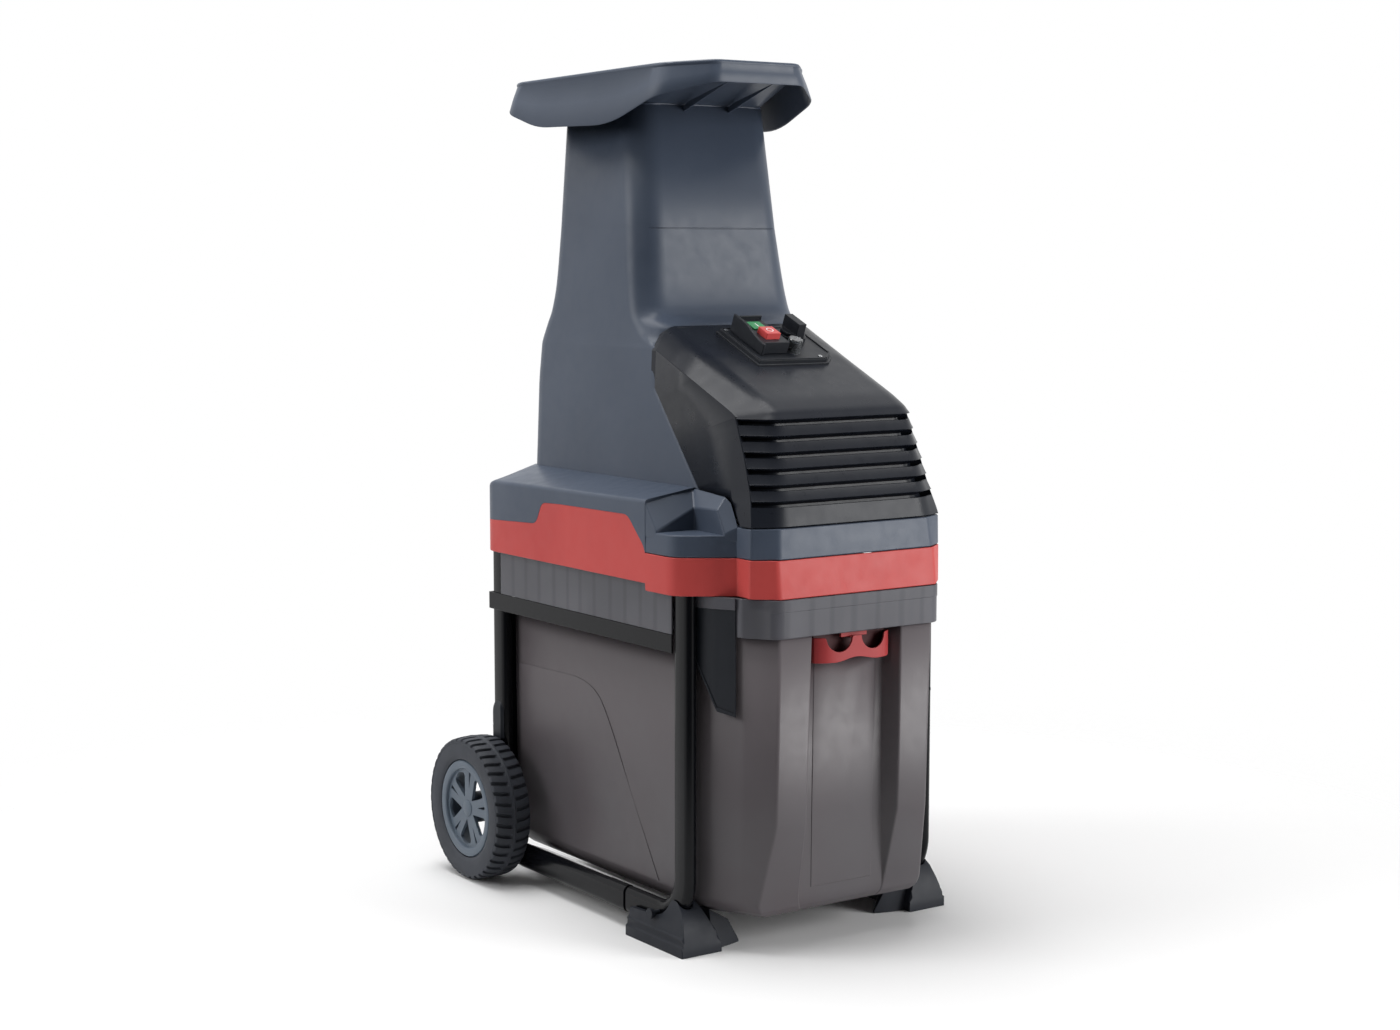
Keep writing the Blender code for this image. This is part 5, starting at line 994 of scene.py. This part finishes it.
# feet: a stepped sole, a saddle under the tube's bend, a peak at the front and a fin reaching in
foot = {
    # depth and the height of the body's top there, front to rear
    "crest": ((0.0705, 0.007), (0.0712, 0.011), (0.0722, 0.0165), (0.0742, 0.0245), (0.0785, 0.035),
              (0.086, 0.047), (0.096, 0.055), (0.105, 0.058), (0.1075, 0.057), (0.1115, 0.049),
              (0.116, 0.043), (0.122, 0.038), (0.13, 0.035), (0.142, 0.033), (0.16, 0.0325), (0.1835, 0.0315),
              (0.1855, 0.029)),
    # outer wall from the ground up, with the sole's bead: how far in from the outer edge, and height
    "wall": ((0, 0), (0, 0.011), (0.0022, 0.0128), (0.0028, 0.0165), (0.0022, 0.0195), (0.004, 0.0215),
             (0.0046, 0.025)),
    # above the bead both walls lean in to the top; the inner one has a sole and a step too
    "outer": 0.187, "outerTop": 0.005, "outerLean": 0.22, "inner": 0.135, "innerTop": 0.006,
    "innerLean": 0.42, "sole": 0.011, "step": (0.0045, 0.025), "endInset": 0.001, "tubeGap": 0.0016,
    "edge": 0.0007, "joined": 0.00002,
    # the fin's reach and height, from the foot inwards, and its near and far edge
    "fin": ((0.14, 0.045, 0.08, 0.112), (0.113, 0.029, 0.085, 0.103), (0.097, 0.003, 0.09, 0.093)),
    "finLean": 0.2,
}


def buildFoot(side, name):
    outer, inner, crest = foot["outer"], foot["inner"], foot["crest"]
    stepIn, stepHigh = foot["step"]
    rows = []
    for depth, top in crest:
        lean = max(top - stepHigh, 0.0)
        ring = [(outer - inwards, min(z, top)) for inwards, z in foot["wall"]]
        ring += [(outer - foot["outerTop"] - lean * foot["outerLean"], top),
                 (inner + foot["innerTop"] + lean * foot["innerLean"], top),
                 (inner + stepIn, min(stepHigh, top)), (inner, min(foot["sole"], top)), (inner, 0.0)]
        inset = foot["endInset"] if depth in (crest[0][0], crest[-1][0]) else 0.0
        rows.append(onSide(side, [(x - inset, depth, z) for x, z in ring]))
    body = loftPiece(name + "_moulded_foot", rows, footPlastic, stands=(name + "_foot",), sharp=30,
                     merge=foot["joined"])
    cutter = sweepTube("cutter", tubePath("front"), side, foot["tubeGap"])
    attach(cutter, "chassis")
    carve(body, cutter)
    roundEdges(body, foot["edge"], 2, 30)
    rows = []
    for x, top, near, far in foot["fin"]:
        lean = (far - near) * foot["finLean"]
        ring = ((near, 0.0), (far, 0.0), (far - lean, top), (near + lean, top))
        rows.append([(side * x, depth, z) for depth, z in ring])
    loftPiece(name + "_foot_fin", rows, footPlastic, bevel=0.0008)


# black steel angles inside the tubes, put there as painted shade for the dark gap between tube and box: an
# upright stop behind the box and a runner under its side
shadeGuide = {
    "stop": ((0.159, 0.4905), (0.159, 0.4935), (0.136, 0.4935), (0.136, 0.4905)), "stopHeights": (0.07, 0.34),
    "runner": ((0.1592, 0.0455), (0.1592, 0.0425), (0.139, 0.0345), (0.139, 0.0375)),
    "runnerDepths": (0.125, 0.438),
}


def buildShadeGuides(side, name):
    outline = [(side * x, depth) for x, depth in shadeGuide["stop"]]
    barPiece(name + "_box_stop", outline, shadeGuide["stopHeights"], tubeCoat, bevel=0.0006)
    rows = [[(side * x, depth, z) for x, z in shadeGuide["runner"]] for depth in shadeGuide["runnerDepths"]]
    loftPiece(name + "_shade_box_runner", rows, tubeCoat, bevel=0.0006)


for side, name in sides:
    buildTubes(side, name)
    buildTubeStop(side, name)
    buildShadeGuides(side, name)
    buildFoot(side, name)
print("frame and feet built")


# wheels: a moulded rubber tyre with two staggered rows of lugs on a five-spoked nylon rim
wheel = {
    "x": 0.2, "depth": 0.495, "z": 0.088, "lugs": 42, "slotDepth": 0.0034,
    # a lug's line curls by a share of the pitch up to curlHalf, and the two rows are half a pitch apart
    "curl": 0.28, "curlHalf": 0.0222, "stagger": 0.5,
    # from the mould line out: distance from the middle, radius, share of the slots' depth
    "tread": ((0.0, 0.088, 0), (0.0005, 0.0877, 0), (0.0026, 0.0877, 0), (0.0034, 0.0877, 0.5),
              (0.0046, 0.0876, 1), (0.012, 0.0873, 1), (0.019, 0.0864, 1), (0.0222, 0.0851, 1),
              (0.023, 0.0836, 0.6), (0.0232, 0.0828, 0), (0.023, 0.0818, 0), (0.0235, 0.0811, 0),
              (0.023, 0.0804, 0), (0.0233, 0.078, 0), (0.0235, 0.072, 0), (0.0228, 0.0655, 0),
              (0.022, 0.062, 0), (0.0205, 0.0604, 0), (0.019, 0.0602, 0)),
    # one lug and its slot round the tyre: share of the pitch and of the slot's depth
    "lug": ((0.0, 0), (0.3, 0), (0.58, 0), (0.66, 0.85), (0.72, 1), (0.88, 1), (0.94, 0.85)),
    # rim section from the hub's outer face round the barrel and back: radius, distance outwards
    "rim": ((0.0001, 0.0165), (0.013, 0.0166), (0.0484, 0.0166), (0.0489, 0.0196), (0.05, 0.0206),
            (0.056, 0.0214), (0.0585, 0.0208), (0.0597, 0.019), (0.06, 0.018), (0.06, -0.019),
            (0.0585, -0.0208), (0.056, -0.0213), (0.0548, -0.02), (0.0548, 0.0095), (0.053, 0.0126),
            (0.019, 0.0126), (0.019, -0.0235), (0.006, -0.0235), (0.006, 0.01), (0.0001, 0.01)),
    # a window between two spokes and a slot in a spoke, as radius and angle, and how far out they are cut
    "spokes": 5, "turn": 8.0, "cut": (0.005, 0.03),
    "window": ((0.014, 0.0), (0.043, 0.335), (0.0476, 0.0), (0.043, -0.335)),
    "windowSoft": (0.0022, 0.005, 0.01, 0.005),
    "slot": ((0.0245, 0.0), (0.0452, 0.052), (0.0452, -0.052)), "slotSoft": (0.0012, 0.001, 0.001),
    "cap": ((0.0001, 0.0186), (0.007, 0.0183), (0.01, 0.0174), (0.0108, 0.016), (0.0001, 0.016)),
}


def onWheel(side, radius, turn, out):
    x, depth, z = side * (wheel["x"] + out), wheel["depth"], wheel["z"]
    return (x, depth + radius * math.sin(turn), z + radius * math.cos(turn))


def buildTyre(side, name):
    half = wheel["tread"]
    stations = [(-x, radius, slot) for x, radius, slot in reversed(half)] + list(half[1:])
    rings = []
    for x, radius, slot in stations:
        curl = wheel["curl"] * (1 - min(abs(x) / wheel["curlHalf"], 1) ** 2)
        curl -= wheel["stagger"] if x < 0 else 0
        ring = []
        for k in range(wheel["lugs"]):
            for share, deep in wheel["lug"]:
                turn = -2 * math.pi * (k + share + curl) / wheel["lugs"]
                ring.append(onWheel(side, radius - slot * deep * wheel["slotDepth"], turn, x))
        rings.append(ring if side > 0 else ring[::-1])
    loftPiece(name + "_lugged_tyre", [*rings, rings[0]], rubber, body=name + "_wheel", lids=False,
              stands=(name + "_tyre",), sharp=34)


def turnedPiece(side, name, part, profile, steps, **rest):
    rings = []
    for radius, out in profile:
        ring = [onWheel(side, radius, 2 * math.pi * k / steps, out) for k in range(steps)]
        rings.append(ring if side < 0 else ring[::-1])
    return loftPiece(name + part, rings, rimPlastic, body=name + "_wheel", **rest)


def wheelCutter(side, outlines):
    # a prism for each outline, drawn through the spokes
    bm = bmesh.new()
    for outline in outlines:
        near, far = [[bm.verts.new(at(side * (wheel["x"] + out), wheel["depth"] + u, wheel["z"] + v))
                      for u, v in outline] for out in wheel["cut"]]
        for i in range(len(outline)):
            k = (i + 1) % len(outline)
            bm.faces.new((near[i], near[k], far[k], far[i]))
        bm.faces.new(near[::-1])
        bm.faces.new(far)
    bmesh.ops.recalc_face_normals(bm, faces=bm.faces)
    return addObject("cutter", meshFrom("cutter", bm))


def buildWheel(side, name):
    buildTyre(side, name)
    disc = turnedPiece(side, name, "_spoked_rim", wheel["rim"], 72, stands=(name + "_rim",), sharp=30)
    pitch = 2 * math.pi / wheel["spokes"]
    outlines = []
    for k in range(wheel["spokes"]):
        turn = math.radians(wheel["turn"]) + pitch * k
        for part, middle in (("window", turn + pitch / 2), ("slot", turn)):
            points = [(radius, angle - middle) for radius, angle in wheel[part]]
            flat = [(radius * math.sin(angle), radius * math.cos(angle)) for radius, angle in points]
            outlines.append(ease(flat, wheel[part + "Soft"], 5))
    carve(disc, wheelCutter(side, outlines))
    roundEdges(disc, 0.0008, 2, 35)
    turnedPiece(side, name, "_domed_cap", wheel["cap"], 36, stands=(name + "_hub_cap",), sharp=40)


for side, name in sides:
    buildWheel(side, name)
print("wheels built")


# webs under the hopper's front, from its lip back to the neck, and a seam bead round the neck
hopperRibs = {
    "at": (-0.03, 0.033), "half": 0.0014,
    "line": ((0.198, 0.959), (0.284, 0.9395), (0.299, 0.9335), (0.299, 0.927)), "seamWider": 1.045,
    "seamFront": 0.2955, "seamHeight": 0.9362, "seamReach": 0.003, "seamHigh": 0.0018,
}


def buildHopperRibs():
    for name, x in zip(("left", "right"), hopperRibs["at"]):
        widths = (x - hopperRibs["half"], x + hopperRibs["half"])
        rows = [[(across, depth, z) for depth, z in hopperRibs["line"]] for across in widths]
        loftPiece(name + "_hopper_web", rows, housingPlastic, bevel=0.0004)
    wider, front, reach, high = [hopperRibs["seam" + key] for key in ("Wider", "Front", "Reach", "High")]
    neckFront = hopper["neck"][0][1]
    seam = [(x * wider, front if depth == neckFront else depth, hopperRibs["seamHeight"])
            for x, depth, _ in hopper["neck"]]
    seam = easedRing(seam, hopper["softness"], 4)
    rows = [insetRing(seam, reach), seam, insetRing(seam, 0, high), insetRing(seam, reach, high)]
    loftPiece("hopper_seam_bead", rows, housingPlastic, lids=False, sharp=40)


buildHopperRibs()


# controls, in the frame of the tilted plate: across, up the slope, out of the plate
panel = {
    "at": (0.014, 0.1725, 0.6566), "tilt": 23.255, "half": (0.054, 0.043), "notch": 0.014, "plate": 0.0063,
    "flange": 0.0026, "flangeHeights": (-0.001, 0.0024),
    # the bead on the plate's edges: how far in from the edge and along it, and heights from the plate's face
    "bead": ((0.0006, 0.0006), (0.0026, 0.002)), "beadHeights": (-0.0004, 0.0009),
    # the switch block's middle, half-width and reach up the slope
    "switch": (-0.024, 0.004, 0.018, 0.031), "rearGuard": (-0.0015, 0.0005), "rearGuardTop": 0.0252,
    # the switch's side guard: up the slope and height, and its two faces from the block's side
    "guard": ((-0.031, 0.0063), (-0.031, 0.02), (-0.019, 0.0206), (-0.005, 0.0232), (0.008, 0.0272),
              (0.02, 0.0275), (0.0355, 0.0275), (0.0355, 0.0063)),
    "guardFaces": (-0.003, 0.0004),
    "screws": ((-0.049, 0.037), (0.048, 0.037), (0.034, -0.037)), "screw": 0.0026,
    "screwHeights": (-0.0002, 0.0008),
    # the white marks on the buttons, up the slope from the switch's middle: a ring for off and a bar for on
    "offAt": -0.0125, "offRadii": (0.0034, 0.0045), "onHalf": 0.0008, "on": (0.0085, 0.0165),
    "markHeights": (-0.0003, 0.00025),
}
panelTilt = math.radians(panel["tilt"])


def onPanel(across, up, out):
    x, depth, z = panel["at"]
    sine, cosine = math.sin(panelTilt), math.cos(panelTilt)
    return (x + across, depth + up * cosine - out * sine, z + up * sine + out * cosine)


def panelPiece(name, outline, base, heights, material, **rest):
    # a flat piece on the plate, between two heights from a base
    rows = [[onPanel(across, up, base + out) for across, up in outline] for out in heights]
    return loftPiece(name, rows, material, **rest)


def discOutline(u, v, radius, steps=20):
    turns = [2 * math.pi * k / steps for k in range(steps)]
    return [(u + radius * math.cos(turn), v + radius * math.sin(turn)) for turn in turns]


def panelHeight(name):
    # how far a CAD piece reaches out of the plate
    out = Vector((0, -math.sin(panelTilt), math.cos(panelTilt)))
    obj = nodes[name]
    return max((obj.matrix_world @ v.co - Vector(at(*panel["at"]))).dot(out) for v in obj.data.vertices)


def buildPlate():
    (a, b), notch, grow, plate = panel["half"], panel["notch"], panel["flange"], panel["plate"]
    outline = [(-a, -b), (a - notch, -b), (a, notch - b), (a, b), (-a, b)]
    wide = [(u * (a + grow) / a, v * (b + grow) / b) for u, v in outline]
    panelPiece("panel_flange", wide, 0, panel["flangeHeights"], blackPlastic, bevel=0.0008)
    for i, corner in enumerate(outline):                   # a bead along each edge of the plate's face
        start, end = Vector(corner), Vector(outline[(i + 1) % len(outline)])
        along = (end - start).normalized()
        inward = Vector((-along.y, along.x))
        strip = [start + inward * d + along * e for d, e in panel["bead"]]
        strip += [end + inward * d - along * e for d, e in reversed(panel["bead"])]
        panelPiece("panel_bead_" + str(i + 1), strip, plate, panel["beadHeights"], blackPlastic, bevel=0.0004)


def buildSwitchGuards():
    u, v, half, reach = panel["switch"]
    rows = [[onPanel(u - half + face, up, out) for up, out in panel["guard"]] for face in panel["guardFaces"]]
    loftPiece("left_switch_guard", rows, blackPlastic, bevel=0.0008)
    rear = rectangle(u - half, u + half, *[v + reach + face for face in panel["rearGuard"]])
    heights = (panel["plate"], panel["rearGuardTop"])
    panelPiece("rear_switch_guard", rear, 0, heights, blackPlastic, bevel=0.0006)


def buildScrews():
    for i, (u, v) in enumerate(panel["screws"]):
        disc = discOutline(u, v, panel["screw"])
        panelPiece("panel_screw_" + str(i + 1), disc, panel["plate"], panel["screwHeights"], turnedSteel,
                   bevel=0.0003)


def buildMarks():
    u, v = panel["switch"][:2]
    (low, high), (inner, outer) = panel["markHeights"], panel["offRadii"]
    top = panelHeight("stop_button")
    rings = []
    for radius, out in ((inner, low), (inner, high), (outer, high), (outer, low), (inner, low)):
        rings.append([onPanel(*point, top + out) for point in discOutline(u, v + panel["offAt"], radius, 28)])
    loftPiece("off_mark", rings, markPaint, body="stop", lids=False, sharp=30)
    bar = rectangle(u - panel["onHalf"], u + panel["onHalf"], *[v + up for up in panel["on"]])
    panelPiece("on_mark", bar, panelHeight("start_button"), (low, high), markPaint, body="start")


buildPlate()
buildSwitchGuards()
buildScrews()
buildMarks()
print("controls built")


stage = {
    "floorHalf": 3.0, "floor": "#F4F4F4", "fade": (0.55, 1.3), "worldStrength": 0.14, "aim": (0.0, 0.0, 0.5),
    # place, size and power of each soft box
    "lamps": {
        "key": ((2.4, -3.1, 1.15), 2.2, 128), "fill": ((-3.4, 1.3, 2.2), 2.2, 62),
        "top": ((-0.3, 0.5, 3.3), 2.4, 102),
    },
    # the room's dark end lies to the left front, where no lamp stands; gloss shows it between the soft boxes
    "darkEnd": (-0.56, -0.83, 0.05), "dark": (0.35, 0.92), "darkLevel": 0.06,
}


def softBox(name, place, size, power):
    lamp = bpy.data.lights.new(name, "AREA")
    lamp.shape = "SQUARE"
    lamp.size = size
    lamp.energy = power
    obj = addObject(name, lamp)
    obj.location = place
    obj.rotation_euler = (Vector(stage["aim"]) - Vector(place)).to_track_quat("-Z", "Y").to_euler()


def buildFloor():
    bm = bmesh.new()
    bmesh.ops.create_grid(bm, x_segments=1, y_segments=1, size=stage["floorHalf"])
    floor = addObject("studio_floor", meshFrom("studio_floor", bm))
    # matt white paper: it keeps the shadow under the object and fades to the white beyond it
    white = hexColour(stage["floor"])
    material, shader = startMaterial("matt_white_studio_paper", Roughness=0.9, Base_Color=white)
    place = addNode(material, "ShaderNodeTexCoord", "Object")
    reach = addNode(material, "ShaderNodeVectorMath", "Value", {0: place}, operation="LENGTH")
    fade = mapRange(material, reach, *stage["fade"], interpolation_type="SMOOTHSTEP")
    clear = addNode(material, "ShaderNodeBsdfTransparent", 0)
    mixed = addNode(material, "ShaderNodeMixShader", 0, {0: fade, 1: shader.outputs[0], 2: clear})
    linkTo(material, mixed, material.node_tree.nodes["Material Output"].inputs["Surface"])
    floor.data.materials.append(material)


def buildRoom():
    world = bpy.data.worlds.new("studio")
    world.use_nodes = True
    bpy.context.scene.world = world
    white = (1, 1, 1, 1)
    ground = world.node_tree.nodes["Background"]
    ground.inputs["Color"].default_value = white
    ground.inputs["Strength"].default_value = stage["worldStrength"]
    way = addNode(world, "ShaderNodeTexCoord", "Generated")
    ends = {0: way, 1: stage["darkEnd"]}
    toDark = addNode(world, "ShaderNodeVectorMath", "Value", ends, operation="DOT_PRODUCT")
    bright = mapRange(world, toDark, *stage["dark"], 1.0, stage["darkLevel"], interpolation_type="SMOOTHSTEP")
    room = addNode(world, "ShaderNodeBackground", 0, {"Color": white, "Strength": bright})
    beyond = addNode(world, "ShaderNodeBackground", 0, {"Color": white})
    rays = addNode(world, "ShaderNodeLightPath", 0).node.outputs
    pair = {0: rays["Is Glossy Ray"], 1: ground.outputs[0], 2: room}
    inGloss = addNode(world, "ShaderNodeMixShader", 0, pair)
    straight = addNode(world, "ShaderNodeMath", 0, {0: rays["Is Camera Ray"], 1: rays["Is Transmission Ray"]},
                       operation="MAXIMUM")
    seen = addNode(world, "ShaderNodeMixShader", 0, {0: straight, 1: inGloss, 2: beyond})
    linkTo(world, seen, world.node_tree.nodes["World Output"].inputs["Surface"])


view = {"lens": 59.6, "at": (-1.564, -2.2515, 0.7622), "turn": (83.6, 0.0, -34.6)}


def buildCamera():
    data = bpy.data.cameras.new("camera")
    data.lens = view["lens"]
    data.sensor_width = 36
    camera = addObject("camera", data)
    camera.location = view["at"]
    camera.rotation_euler = [math.radians(angle) for angle in view["turn"]]
    bpy.context.scene.camera = camera


buildFloor()
buildRoom()
for name, lamp in stage["lamps"].items():
    softBox(name, *lamp)
buildCamera()
bpy.context.scene.view_settings.view_transform = "Standard"
print("stage and camera set")
